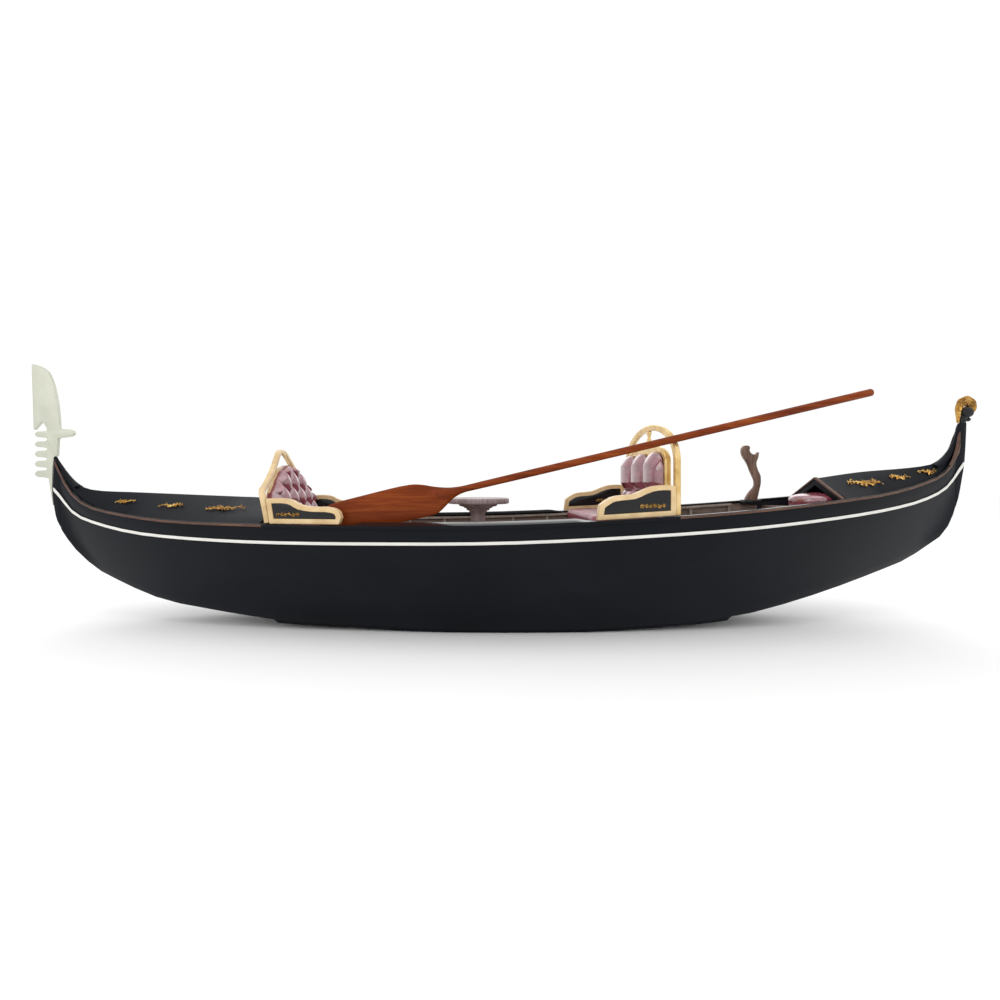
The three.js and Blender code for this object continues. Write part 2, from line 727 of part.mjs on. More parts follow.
const sofa = { name: "sofa", armSetIn: 3 };
const ARCH_X = 228;
const ARCH_Z = 250;

// An arch over two posts: half its width, and how far its top rises over ARCH_Z.
function archOutline(half, rise, foot) {
  return [[half, foot], ...arc(0, ARCH_Z, half, rise, 0, 180, 20), [-half, foot]];
}

function sofaBack() {
  const foot = 174.8;
  const outer = archOutline(106, 62, foot);
  const hole = archOutline(96, 52, foot + 10);
  const ring = crossPlate(outer, ARCH_X, FRAME_THICK, [hole]);
  const pendant = box([ARCH_X + 1, -5, 281], [ARCH_X + 7, 5, 304]);
  node("sofa_back_frame", join(ring, pendant), "goldWood");
  const panel = crossPlate(archOutline(86, 30, foot + 11), ARCH_X - 6, 9);
  node("sofa_back_panel", panel, "goldWood");
}

function sofaSeat() {
  const outline = [[124, 91], [226, 91], [226, -91], [124, -91]];
  node("sofa_seat_base", slab(outline, FLOOR_TOP + GAP, 155), "darkWood");
  node("sofa_seat_cushion", seatCushion(115, 221, 93, 155.4, 173.5), "burgundy");
  const back = backCushion([
    [174, 80, 221.6, 206], [196, 80, 221.6, 202.5], [235, 80, 221.6, 203],
    [256, 76, 221.6, 208], [265, 62, 221.6, 214],
  ]);
  node("sofa_back_cushion", back, "burgundy");
}

const sofaArm = [[117, 168], [227, 174.2], [227, 214.5], ...smooth([[219, 216], [208, 216],
  [195, 214.5], [182, 210], [168, 204], [149, 202], [135, 199], [120, 189]], 14)];

sofaBack();
sofaSeat();
for (const word of Object.keys(SIDES)) armrest(sofa, sofaArm, word);

// ---------------------------------------------------------------- table

const TABLE_X = -44;

function tableTop() {
  return turned([[0, 175], [23, 175], [23, 181], [30, 181], [30, 186], [50, 186], [50, 195],
    [0, 195]], 32, TABLE_X, 0);
}

function tableColumn() {
  const foot = FLOOR_TOP + GAP;
  return turned([[0, foot], [24, foot], [24, foot + 5], [14, foot + 10], [11, 140], [14, 168],
    [18, 174.6], [0, 174.6]], 20, TABLE_X, 0);
}

node("table_top", tableTop(), "tableWood");
node("table_column", tableColumn(), "tableWood");

// ---------------------------------------------------------------- forcola and oar

// The forcola stands in a socket in its block, inboard of the starboard cap rail.
const FORCOLA = [433, 62];
const BLOCK_TOP = 190;

function forcolaBlock() {
  const [x, y] = FORCOLA;
  const block = box([x - 15, y - 8, BLOCK_TOP - 9], [x + 15, y + 7, BLOCK_TOP]);
  const socket = box([x - 8, y - 4.5, BLOCK_TOP - 6], [x + 8, y + 4.5, BLOCK_TOP + 1]);
  return cut(block, socket);
}

function forcola() {
  const [x, y] = FORCOLA;
  const aft = smooth([[x + 10, 191], [x + 13, 205], [x + 16, 220], [x + 15.5, 232], [x + 11, 243],
    [x + 9, 254], [x + 12, 265], [x + 12.5, 273]], 16);
  const notch = [[x + 11, 272], ...smooth([[x + 6.5, 268.5], [x, 270.5], [x - 3.5, 276],
    [x - 2, 282], [x - 5, 284.3]], 10)];
  const fore = smooth([[x - 12, 284], [x - 15.5, 279], [x - 15, 267], [x - 7, 254], [x, 238],
    [x + 6, 223], [x + 5, 213], [x - 3, 204], [x - 9, 191]], 18);
  const tenon = [[x - 7.5, 191], [x - 7.5, 184.4], [x + 7.5, 184.4], [x + 7.5, 191]];
  return sidePlate([...aft, ...notch, ...fore, ...tenon], y - 4, y + 4);
}

node("forcola_block", forcolaBlock(), "blackGloss");
node("forcola", forcola(), "walnut");

// Built along its own X axis from the rest point, then turned to lean on the arch.
function oar() {
  const tip = -508;
  const neck = -300;
  const upper = smooth([[tip, 10], [tip + 8, 19], [tip + 24, 23], [tip + 60, 24], [-372, 24],
    [-358, 20], [-345, 13.5], [-330, 7.5], [neck, 4]], 22);
  const lower = smooth([[neck, -4.4], [-318, -9], [-330, -18], [-342, -24.5], [-360, -26],
    [tip + 60, -24], [tip + 24, -23], [tip + 8, -19], [tip, -10]], 22);
  const blade = sidePlate([...upper, ...lower], -2.4, 2.4);
  const shaft = turned([[0, 0], [2.6, 0], [OAR_RADIUS, 30], [OAR_RADIUS, 595], [0, 595]], 12, 0, 0);
  shaft.rotateY(Math.PI / 2).translate(neck - 14, 0, 0);
  return join(blade, shaft);
}

const leaning = new THREE.Group();
leaning.position.set(...OAR_REST);
leaning.rotation.set(0, -Math.atan(OAR_SLOPE), Math.atan(OAR_DRIFT), "ZYX");
group.add(leaning);
node("oar", oar(), "mahogany", leaning);

export default group;
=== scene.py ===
"""The finished look of the gondola display model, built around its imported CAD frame."""

import math
import json
import random

import bmesh
import bpy
from mathutils import Matrix, Vector, noise


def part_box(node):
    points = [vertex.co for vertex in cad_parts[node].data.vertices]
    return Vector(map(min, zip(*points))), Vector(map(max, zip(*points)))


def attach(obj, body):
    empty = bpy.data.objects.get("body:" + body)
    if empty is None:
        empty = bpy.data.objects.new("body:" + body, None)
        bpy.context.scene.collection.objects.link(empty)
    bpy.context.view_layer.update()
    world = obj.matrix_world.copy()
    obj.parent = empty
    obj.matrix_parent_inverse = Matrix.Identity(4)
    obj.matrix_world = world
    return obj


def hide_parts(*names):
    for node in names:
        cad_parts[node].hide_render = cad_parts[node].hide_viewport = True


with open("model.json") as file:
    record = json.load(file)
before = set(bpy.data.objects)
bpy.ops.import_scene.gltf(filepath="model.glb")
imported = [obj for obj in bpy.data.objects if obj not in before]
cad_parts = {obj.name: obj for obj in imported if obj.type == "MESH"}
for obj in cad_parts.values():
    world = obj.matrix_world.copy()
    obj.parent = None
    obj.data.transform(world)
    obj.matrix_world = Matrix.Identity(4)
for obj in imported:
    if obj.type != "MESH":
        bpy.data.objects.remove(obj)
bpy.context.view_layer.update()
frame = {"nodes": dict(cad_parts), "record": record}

MM = 0.001
SIDES = {"port": -1, "starboard": 1}
SLOTS = {part["node"]: part["material_slot"] for part in frame["record"]["subparts"]}


def box_mm(node):
    """A CAD node's lowest and highest corners at rest, in millimetres to a hundredth."""
    return [[round(c / MM, 2) for c in corner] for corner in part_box(node)]


def middle_of(node, axis):
    low, high = box_mm(node)
    return (low[axis] + high[axis]) / 2


BODIES = {node: body for body, nodes in frame["record"]["behaviour"]["bodies"].items() for node in nodes}


# ---------------------------------------------------------------- material nodes


class Shader:
    """One material with a Principled shader, and short ways to wire its texture nodes."""

    def __init__(self, name, roughness, metallic=0.0, coat=0.0, coat_roughness=0.05, coat_ior=1.5,
                 specular=0.5):
        self.material = bpy.data.materials.new(name)
        self.material.use_nodes = True
        self.tree = self.material.node_tree
        self.surface = self.tree.nodes["Principled BSDF"]
        self.surface.inputs["Roughness"].default_value = roughness
        self.surface.inputs["Metallic"].default_value = metallic
        self.surface.inputs["Coat Weight"].default_value = coat
        self.surface.inputs["Coat Roughness"].default_value = coat_roughness
        self.surface.inputs["Coat IOR"].default_value = coat_ior
        self.surface.inputs["Specular IOR Level"].default_value = specular
        self.place = self.add("ShaderNodeTexCoord").outputs["Object"]

    def add(self, kind, **values):
        node = self.tree.nodes.new(kind)
        for key, value in values.items():
            setattr(node, key, value)
        return node

    def link(self, output, target):
        self.tree.links.new(output, target)

    def stretched(self, scale, turn=(0, 0, 0)):
        """Object coordinates multiplied by scale, after a turn."""
        mapping = self.add("ShaderNodeMapping")
        mapping.inputs["Scale"].default_value = scale
        mapping.inputs["Rotation"].default_value = turn
        self.link(self.place, mapping.inputs["Vector"])
        return mapping.outputs["Vector"]

    def noise(self, vector, detail=4.0, roughness=0.55, distortion=0.0):
        node = self.add("ShaderNodeTexNoise")
        self.link(vector, node.inputs["Vector"])
        node.inputs["Scale"].default_value = 1.0
        node.inputs["Detail"].default_value = detail
        node.inputs["Roughness"].default_value = roughness
        node.inputs["Distortion"].default_value = distortion
        return node.outputs["Fac"]

    def remap(self, value, low, high, out_low, out_high):
        node = self.add("ShaderNodeMapRange")
        self.link(value, node.inputs["Value"])
        for key, number in zip(("From Min", "From Max", "To Min", "To Max"), (low, high, out_low, out_high)):
            node.inputs[key].default_value = number
        return node.outputs["Result"]

    def ramp(self, value, *stops):
        """Colours at positions along 0 to 1: each stop is (position, (r, g, b))."""
        node = self.add("ShaderNodeValToRGB")
        self.link(value, node.inputs["Fac"])
        elements = node.color_ramp.elements
        while len(elements) < len(stops):
            elements.new(0.5)
        for element, (position, colour) in zip(elements, stops):
            element.position = position
            element.color = (*colour, 1)
        return node.outputs["Color"]

    def mix(self, share, first, second):
        node = self.add("ShaderNodeMix", data_type="RGBA")
        for value, key in ((share, "Factor"), (first, "A"), (second, "B")):
            socket = next(s for s in node.inputs if s.name == key and s.enabled)
            if hasattr(value, "is_output"):
                self.link(value, socket)
            else:
                socket.default_value = value if isinstance(value, (int, float)) else (*value, 1)
        return next(s for s in node.outputs if s.enabled)

    def math(self, operation, first, second=0.0):
        node = self.add("ShaderNodeMath", operation=operation)
        for value, socket in zip((first, second), node.inputs):
            if hasattr(value, "is_output"):
                self.link(value, socket)
            else:
                socket.default_value = value
        return node.outputs["Value"]

    def colour(self, value):
        if hasattr(value, "is_output"):
            self.link(value, self.surface.inputs["Base Color"])
        else:
            self.surface.inputs["Base Color"].default_value = (*value, 1)

    def rough(self, value):
        self.link(value, self.surface.inputs["Roughness"])

    def bump(self, value, strength, distance):
        node = self.add("ShaderNodeBump")
        node.inputs["Strength"].default_value = strength
        node.inputs["Distance"].default_value = distance
        self.link(value, node.inputs["Height"])
        before = self.surface.inputs["Normal"].links
        if before:
            self.link(before[0].from_socket, node.inputs["Normal"])
        self.link(node.outputs["Normal"], self.surface.inputs["Normal"])


def wood(name, dark, middle, light, along=(1, 0, 0), roughness=0.4, coat=0.1, grain=420,
         turn=(0, 0, 0), specular=0.3):
    """Timber with long grain along one axis, fine pores, broad bands and a satin finish."""
    s = Shader(name, roughness, coat=coat, coat_roughness=0.12, specular=specular)
    long_scale = tuple(grain / 26 if a else grain for a in along)
    band_scale = tuple(grain / 120 if a else grain / 7 for a in along)
    fibres = s.noise(s.stretched(long_scale, turn), detail=8, roughness=0.65, distortion=0.4)
    bands = s.noise(s.stretched(band_scale, turn), detail=3, distortion=1.2)
    both = s.math("ADD", s.math("MULTIPLY", fibres, 0.55), s.math("MULTIPLY", bands, 0.45))
    s.colour(s.ramp(both, (0.34, dark), (0.5, middle), (0.66, light)))
    s.rough(s.remap(fibres, 0.3, 0.7, roughness + 0.1, roughness - 0.06))
    s.bump(fibres, 0.25, 0.15 * MM)
    s.bump(bands, 0.12, 0.4 * MM)
    return s.material


def lacquer(name, colour, lighter, roughness, coat, ripple=0.1, specular=0.5):
    """Black paint over timber: a slight cloudiness, brush ripple and faint dust."""
    s = Shader(name, roughness, coat=coat, coat_roughness=0.09, specular=specular)
    cloud = s.noise(s.stretched((5, 12, 12)), detail=5)
    dust = s.noise(s.stretched((260, 260, 260)), detail=6, roughness=0.7)
    s.colour(s.mix(s.remap(cloud, 0.35, 0.7, 0.0, 1.0), colour, lighter))
    both = s.math("ADD", cloud, s.math("MULTIPLY", dust, 0.4))
    s.rough(s.remap(both, 0.45, 1.0, roughness - 0.06, roughness + 0.1))
    s.bump(s.noise(s.stretched((60, 160, 160)), detail=3), ripple, 0.25 * MM)
    s.bump(dust, 0.05, 0.05 * MM)
    return s.material


def gilt(name, shade, colour, light, roughness, metallic):
    """Gold finish: a brushed metallic paint, with painted shade: darker in places set by noise, which stand
    for the hollows.
    """
    s = Shader(name, roughness, metallic=metallic, coat=0.25, coat_roughness=0.15)
    cloud = s.noise(s.stretched((45, 45, 45)), detail=5)
    speckle = s.noise(s.stretched((900, 900, 900)), detail=4, roughness=0.7)
    both = s.math("ADD", s.math("MULTIPLY", cloud, 0.7), s.math("MULTIPLY", speckle, 0.3))
    # painted shade: the shade stop darkens noise-set patches that stand for the hollows
    s.colour(s.ramp(both, (0.36, shade), (0.5, colour), (0.64, light)))
    s.rough(s.remap(speckle, 0.3, 0.7, roughness + 0.08, roughness - 0.08))
    s.bump(speckle, 0.15, 0.08 * MM)
    return s.material


def leather(name, dark, colour, light, coat, coat_roughness, coat_ior=1.5):
    """Glossy upholstery leather: pebbled grain, and soft creases, with the colour darker in their hollows
    and lighter on their rises.
    """
    s = Shader(name, 0.3, coat=coat, coat_roughness=coat_roughness, coat_ior=coat_ior)
    pebbles = s.add("ShaderNodeTexVoronoi", feature="F1")
    pebbles.inputs["Scale"].default_value = 1.0
    s.link(s.stretched((900, 900, 900)), pebbles.inputs["Vector"])
    creases = s.noise(s.stretched((70, 70, 70)), detail=6, roughness=0.6, distortion=0.8)
    s.colour(s.ramp(creases, (0.32, dark), (0.52, colour), (0.72, light)))
    s.rough(s.remap(creases, 0.3, 0.7, 0.4, 0.22))
    s.bump(pebbles.outputs["Distance"], 0.22, 0.12 * MM)
    s.bump(creases, 0.3, 0.5 * MM)
    return s.material


def cast_metal(name, colour, shade):
    """A light cast alloy with a satin, faintly pitted skin."""
    s = Shader(name, 0.42, metallic=0.35, coat=0.1, coat_roughness=0.3)
    cloud = s.noise(s.stretched((30, 30, 30)), detail=6)
    pits = s.noise(s.stretched((700, 700, 700)), detail=5, roughness=0.7)
    s.colour(s.mix(s.remap(cloud, 0.35, 0.7, 0, 1), colour, shade))
    s.rough(s.remap(pits, 0.3, 0.7, 0.34, 0.5))
    s.bump(pits, 0.12, 0.1 * MM)
    return s.material


def painted_stripe(name):
    s = Shader(name, 0.45, coat=0.15, coat_roughness=0.2)
    cloud = s.noise(s.stretched((25, 200, 200)), detail=5)
    s.colour(s.mix(s.remap(cloud, 0.35, 0.7, 0, 1), (0.80, 0.79, 0.75), (0.70, 0.69, 0.65)))
    s.bump(cloud, 0.1, 0.1 * MM)
    return s.material


FINISHES = {
    "hull_black": lacquer("hull_black", (0.003, 0.0038, 0.0058), (0.0055, 0.007, 0.011), 0.36, 0.0,
                          specular=0.11),
    "gloss_black": lacquer("gloss_black", (0.006, 0.006, 0.007), (0.012, 0.012, 0.014), 0.16, 0.12,
                           ripple=0.04, specular=0.25),
    "white_stripe": painted_stripe("white_stripe"),
    "brown_trim": wood("brown_trim", (0.045, 0.02, 0.011), (0.085, 0.036, 0.02), (0.15, 0.07, 0.04)),
    "stained_planking": wood("stained_planking", (0.10, 0.065, 0.05), (0.19, 0.135, 0.11),
                             (0.29, 0.22, 0.19), roughness=0.45),
    "rib_wood": wood("rib_wood", (0.22, 0.17, 0.145), (0.32, 0.26, 0.23), (0.42, 0.36, 0.32),
                     along=(0, 0, 1)),
    "table_wood": wood("table_wood", (0.20, 0.145, 0.14), (0.31, 0.235, 0.235), (0.44, 0.36, 0.36),
                       roughness=0.4, along=(0, 0, 1)),
    "walnut": wood("walnut", (0.07, 0.032, 0.02), (0.16, 0.085, 0.055), (0.30, 0.19, 0.14),
                   along=(0, 0, 1), roughness=0.35, coat=0.25),
    "mahogany": wood("mahogany", (0.085, 0.012, 0.0012), (0.185, 0.030, 0.003), (0.28, 0.062, 0.009),
                     roughness=0.36, coat=0.03, specular=0.12, grain=330,
                     turn=(0, math.atan(0.2375), 0)),
    # The first colour of each gilt finish is painted shade for its hollows.
    "gilt_wood": gilt("gilt_wood", (0.58, 0.40, 0.19), (0.68, 0.49, 0.25), (0.76, 0.58, 0.33), 0.42, 0.0),
    "gilt_bright": gilt("gilt_bright", (0.52, 0.31, 0.09), (0.72, 0.48, 0.17), (0.84, 0.64, 0.32),
                        0.2, 0.45),
    "gold": gilt("gold", (0.10, 0.042, 0.006), (0.48, 0.25, 0.045), (0.88, 0.60, 0.20), 0.24, 0.85),
    "steel_ferro": cast_metal("steel_ferro", (0.55, 0.56, 0.47), (0.50, 0.51, 0.425)),
    "burgundy_leather": leather("burgundy_leather", (0.13, 0.018, 0.032), (0.24, 0.042, 0.07),
                                (0.38, 0.11, 0.15), 1.0, 0.17, 2.1),
    "burgundy_seat": leather("burgundy_seat", (0.12, 0.013, 0.024), (0.22, 0.032, 0.055),
                             (0.33, 0.07, 0.10), 0.12, 0.4),
}


# ---------------------------------------------------------------- making pieces


def linked(name, data):
    """A new object in the scene, with its mesh, light or camera data."""
    piece = bpy.data.objects.new(name, data)
    bpy.context.scene.collection.objects.link(piece)
    return piece


def finish_mesh(mesh, angle=32):
    mesh.shade_smooth()
    mesh.set_sharp_from_angle(angle=math.radians(angle))


def settle(piece, body, slot, *stands_for):
    """Gives a piece its finish and its body, and hides the CAD nodes that it stands for."""
    piece.data.materials.clear()
    piece.data.materials.append(FINISHES[slot])
    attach(piece, body)
    if stands_for:
        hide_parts(*stands_for)
    return piece


def piece_from(name, verts, faces, angle=32):
    """A mesh object from corners in millimetres."""
    mesh = bpy.data.meshes.new(name)
    mesh.from_pydata([[c * MM for c in v] for v in verts], [], faces)
    shape = bmesh.new()
    shape.from_mesh(mesh)
    bmesh.ops.recalc_face_normals(shape, faces=shape.faces)
    shape.to_mesh(mesh)
    shape.free()
    finish_mesh(mesh, angle)
    piece = linked(name, mesh)
    return piece


def welded(node):
    """A CAD node's mesh with its shared corners merged, as a bmesh."""
    shape = bmesh.new()
    shape.from_mesh(frame["nodes"][node].data)
    bmesh.ops.remove_doubles(shape, verts=shape.verts, dist=0.004 * MM)
    return shape


def sharp_edges(shape, degrees):
    return [e for e in shape.edges if len(e.link_faces) == 2
            and math.degrees(e.calc_face_angle(0)) > degrees]


def dressed(node, bevel=0.6, segments=3, dissolve=True, over=35, smooth=32):
    """A CAD node with its hard edges rounded, which stands for it."""
    shape = welded(node)
    if dissolve:
        bmesh.ops.dissolve_limit(shape, angle_limit=math.radians(0.4), verts=shape.verts,
                                 edges=shape.edges)
    bmesh.ops.bevel(shape, geom=sharp_edges(shape, over), offset=bevel * MM, segments=segments,
                    profile=0.5, affect="EDGES", clamp_overlap=True)
    mesh = bpy.data.meshes.new(node + "_finished")
    shape.to_mesh(mesh)
    shape.free()
    finish_mesh(mesh, smooth)
    piece = linked(node + "_finished", mesh)
    return settle(piece, BODIES[node], SLOTS[node], node)


# ---------------------------------------------------------------- forming shapes


def turns(count):
    """Angles at even steps once round a circle."""
    return [math.tau * k / count for k in range(count)]


def ring_faces(count, around):
    """Quads between each pair of a stack of rings."""
    faces = []
    for r in range(count - 1):
        for i in range(around):
            j = (i + 1) % around
            faces.append((r * around + i, r * around + j, (r + 1) * around + j, (r + 1) * around + i))
    return faces


def skin(name, rings, angle=40):
    """A closed skin over rings of corners in millimetres, with its ends filled."""
    around = len(rings[0])
    faces = ring_faces(len(rings), around)
    faces.append(tuple(range(around)))
    start = (len(rings) - 1) * around
    faces.append(tuple(start + i for i in range(around)))
    return piece_from(name, [p for ring in rings for p in ring], faces, angle)


def curve_through(points, steps):
    """Points evenly along a smooth curve through a few points, of any dimension."""
    made = []
    last = len(points) - 1
    for i in range(steps + 1):
        t = last * i / steps
        k = min(int(t), last - 1)
        f = t - k
        a, b = Vector(points[max(k - 1, 0)]), Vector(points[k])
        c, d = Vector(points[k + 1]), Vector(points[min(k + 2, last)])
        made.append(0.5 * (2 * b + (c - a) * f + (2 * a - 5 * b + 4 * c - d) * f * f
                           + (3 * b - 3 * c + d - a) * f ** 3))
    return made


def between(points, x):
    """The value at x on the straight line through sorted (x, value) points."""
    if x <= points[0][0]:
        return points[0][1]
    for (x0, v0), (x1, v1) in zip(points, points[1:]):
        if x <= x1:
            return v0 + (v1 - v0) * (x - x0) / (x1 - x0)
    return points[-1][1]


def tube_rings(path, radii, sides=8):
    """Round rings along a path, in millimetres."""
    rings = []
    path = [Vector(p) for p in path]
    for i, (p, r) in enumerate(zip(path, radii)):
        way = (path[min(i + 1, len(path) - 1)] - path[max(i - 1, 0)]).normalized()
        side = way.cross(Vector((0, 0, 1)))
        side = side.normalized() if side.length > 1e-4 else Vector((1, 0, 0))
        up = side.cross(way).normalized()
        rings.append([p + side * (r * math.cos(a)) + up * (r * math.sin(a)) for a in turns(sides)])
    return rings


def merged(name, groups, angle=40):
    """Several closed skins, each a stack of rings, as one mesh object."""
    verts, faces = [], []
    for rings in groups:
        around, start = len(rings[0]), len(verts)
        local = ring_faces(len(rings), around)
        local.append(tuple(range(around)))
        end = (len(rings) - 1) * around
        local.append(tuple(end + i for i in range(around)))
        faces.extend(tuple(start + i for i in face) for face in local)
        verts.extend(p for ring in rings for p in ring)
    return piece_from(name, verts, faces, angle)


def plate(name, outline, near, far, bevel=0.8, segments=3):
    """An outline of [x, z] corners as a plate from y = near to far, with rounded edges."""
    verts = [(x, near, z) for x, z in outline] + [(x, far, z) for x, z in outline]
    n = len(outline)
    faces = [tuple(range(n)), tuple(range(n, 2 * n))]
    faces += [(i, (i + 1) % n, n + (i + 1) % n, n + i) for i in range(n)]
    piece = piece_from(name, verts, faces)
    round_edges(piece, bevel, segments, 55)
    return piece


def round_edges(piece, bevel, segments, over):
    shape = bmesh.new()
    shape.from_mesh(piece.data)
    bmesh.ops.bevel(shape, geom=sharp_edges(shape, over), offset=bevel * MM, segments=segments,
                    profile=0.5, affect="EDGES", clamp_overlap=True)
    bmesh.ops.recalc_face_normals(shape, faces=shape.faces)
    shape.to_mesh(piece.data)
    shape.free()
    finish_mesh(piece.data)


def rounded(outline, radius, steps=4):
    """A closed outline of 2-D corners with every corner rounded, less where an edge is short."""
    made = []
    n = len(outline)
    for i in range(n):
        p = Vector(outline[i])
        a, b = Vector(outline[i - 1]) - p, Vector(outline[(i + 1) % n]) - p
        if a.angle(b, math.pi) > math.radians(155):
            made.append(p)
            continue
        reach = min(radius, 0.47 * a.length, 0.47 * b.length)
        start, end = p + a.normalized() * reach, p + b.normalized() * reach
        for k in range(steps + 1):
            t = k / steps
            made.append(start * (1 - t) ** 2 + p * (2 * t * (1 - t)) + end * t * t)
    return [(v.x, v.y) for v in made]


def remeshed(piece, voxel, smooth_steps):
    """The piece as one even skin of small quads, smoothed."""
    grid = piece.modifiers.new("even", "REMESH")
    grid.mode = "VOXEL"
    grid.voxel_size = voxel * MM
    calm = piece.modifiers.new("calm", "SMOOTH")
    calm.iterations = smooth_steps
    calm.factor = 0.5
    apply_modifiers(piece)


def apply_modifiers(piece):
    graph = bpy.context.evaluated_depsgraph_get()
    graph.update()
    mesh = bpy.data.meshes.new_from_object(piece.evaluated_get(graph))
    piece.modifiers.clear()
    piece.data = mesh
    finish_mesh(mesh, 60)


def subdivided(piece):
    finer = piece.modifiers.new("finer", "SUBSURF")
    finer.levels = finer.render_levels = 1
    apply_modifiers(piece)


# ---------------------------------------------------------------- camera, light and floor


def add_camera():
    """Level and square to the port side, a little forward of the middle, close by."""
    data = bpy.data.cameras.new("camera")
    data.sensor_width = 36
    data.lens = 36 * 0.465
    data.shift_x = 0.030
    data.shift_y = -0.017
    data.clip_start = 0.01
    camera = linked("camera", data)
    camera.location = (-0.057, -0.750, 0.219)
    camera.rotation_euler = (math.radians(90), 0, 0)
    bpy.context.scene.camera = camera


def add_area(name, place, target, size, power, colour=(1, 1, 1)):
    data = bpy.data.lights.new(name, "AREA")
    data.shape = "RECTANGLE"
    data.size, data.size_y = size
    data.energy = power
    data.color = colour
    light = linked(name, data)
    light.location = place
    light.rotation_euler = (Vector(target) - Vector(place)).to_track_quat("-Z", "Y").to_euler()


def add_lights():
    """A white room: even sky, a big soft light overhead and a weaker one from the camera's left."""
    world = bpy.data.worlds.new("studio")
    bpy.context.scene.world = world
    world.use_nodes = True
    background = world.node_tree.nodes["Background"]
    background.inputs["Color"].default_value = (1, 1, 1, 1)
    background.inputs["Strength"].default_value = 1.03
    add_area("overhead", (0.0, -0.3, 2.2), (0, 0, 0.1), (2.6, 1.4), 9)
    add_area("camera_left", (-1.6, -1.9, 1.1), (-0.2, 0, 0.15), (1.2, 1.0), 6, (1, 0.98, 0.95))
    add_area("back", (0.6, 1.9, 1.2), (0, 0, 0.2), (2.4, 0.8), 6)
    bpy.context.scene.view_settings.view_transform = "Standard"


def add_floor():
    far = 9000
    floor = piece_from("floor", [[-far, -far, 0], [far, -far, 0], [far, far, 0], [-far, far, 0]],
                       [(0, 1, 2, 3)])
    s = Shader("floor_paper", 0.85)
    cloud = s.noise(s.stretched((3, 3, 3)), detail=3)
    s.colour(s.mix(cloud, (0.975, 0.975, 0.975), (0.955, 0.955, 0.955)))
    floor.data.materials.append(s.material)


# ---------------------------------------------------------------- bow and stern

HALF_BEAM, HALF_LENGTH, WIDEST_X = 125, 731, 5  # the rim's plan curve, in mm


def rim_breadth(x):
    return HALF_BEAM * (1 - ((x - WIDEST_X) / HALF_LENGTH) ** 2)


def ferro():
    """The steel comb: a cleaver blade, five round-ended prongs ahead and one astern."""
    crown = curve_through([(-761.8, 410.4), (-751, 408), (-741, 402), (-734, 394), (-726, 373),
                           (-720, 340), (-717.5, 306)], 22)
    astern = [(-702, 305.5), (-695.5, 303), (-693.6, 299), (-697, 294.8), (-704, 293.4), (-720, 291)]
    inner = [(-720.6, 280), (-721.6, 262.6)] + [tuple(p) for p in curve_through(
        [(-725.9, 261.6), (-728.3, 240), (-728.8, 205), (-726.9, 182)], 10)]
    strap = [(-730, 198), (-734.6, 227)]
    comb = []
    for low, high in ((228, 239.3), (244, 255.2), (260, 271.2), (276, 286.3), (292, 302.3)):
        comb += [(-737, low - 1.3), (-741, low), (-753, low + 0.8), (-757.6, (low + high) / 2),
                 (-753, high - 0.4), (-741, high), (-737, high + 1.3)]
    notch = [(-737.6, 307), (-745.2, 319.2), (-758.6, 303.6)]
    outline = [tuple(p) for p in crown] + astern + inner + strap + comb + notch
    piece = plate("ferro_finished", rounded(outline, 2.4, 3), -2.5, 2.5, bevel=0.7)
    settle(piece, BODIES["ferro"], "steel_ferro", "ferro")


def acanthus():
    """The gilded leaf that curls over the stern's scroll: a crowned band cut by grooves."""
    spine = curve_through([(730.0, 316), (729.9, 328), (731.0, 339), (735.5, 347.5), (743.5, 351),
                           (751, 347), (753.0, 339.5), (751.2, 331.5)], 60)
    width = [(0, 1.4), (0.12, 2.4), (0.3, 4.4), (0.45, 7.4), (0.6, 8.6), (0.8, 7.2), (0.92, 4.6), (1, 1.2)]
    rings = []
    for i, p in enumerate(spine):
        t = i / (len(spine) - 1)
        before, after = spine[max(i - 1, 0)], spine[min(i + 1, len(spine) - 1)]
        way = (after - before).normalized()
        out = Vector((-way.y, way.x))
        half = between(width, t) * (1 + 0.05 * math.sin(t * 46))
        thick = between([(0, 1.6), (0.3, 4.2), (0.6, 4.9), (1, 2.2)], t)
        ring = []
        for k in range(28):
            a = math.tau * k / 28
            across = math.cos(a)
            groove = 0.74 + 0.26 * math.cos(6 * math.pi * across + 5.0 * t * math.pi)
            deep = math.copysign(abs(math.sin(a)) ** 0.7, math.sin(a)) * thick * groove
            spot = p + out * (half * across)
            ring.append((spot.x, deep, spot.y))
        rings.append(ring)
    leaf = skin("stern_leaf_finished", rings, 50)
    settle(leaf, BODIES["stern_leaf"], "gold", "stern_leaf")


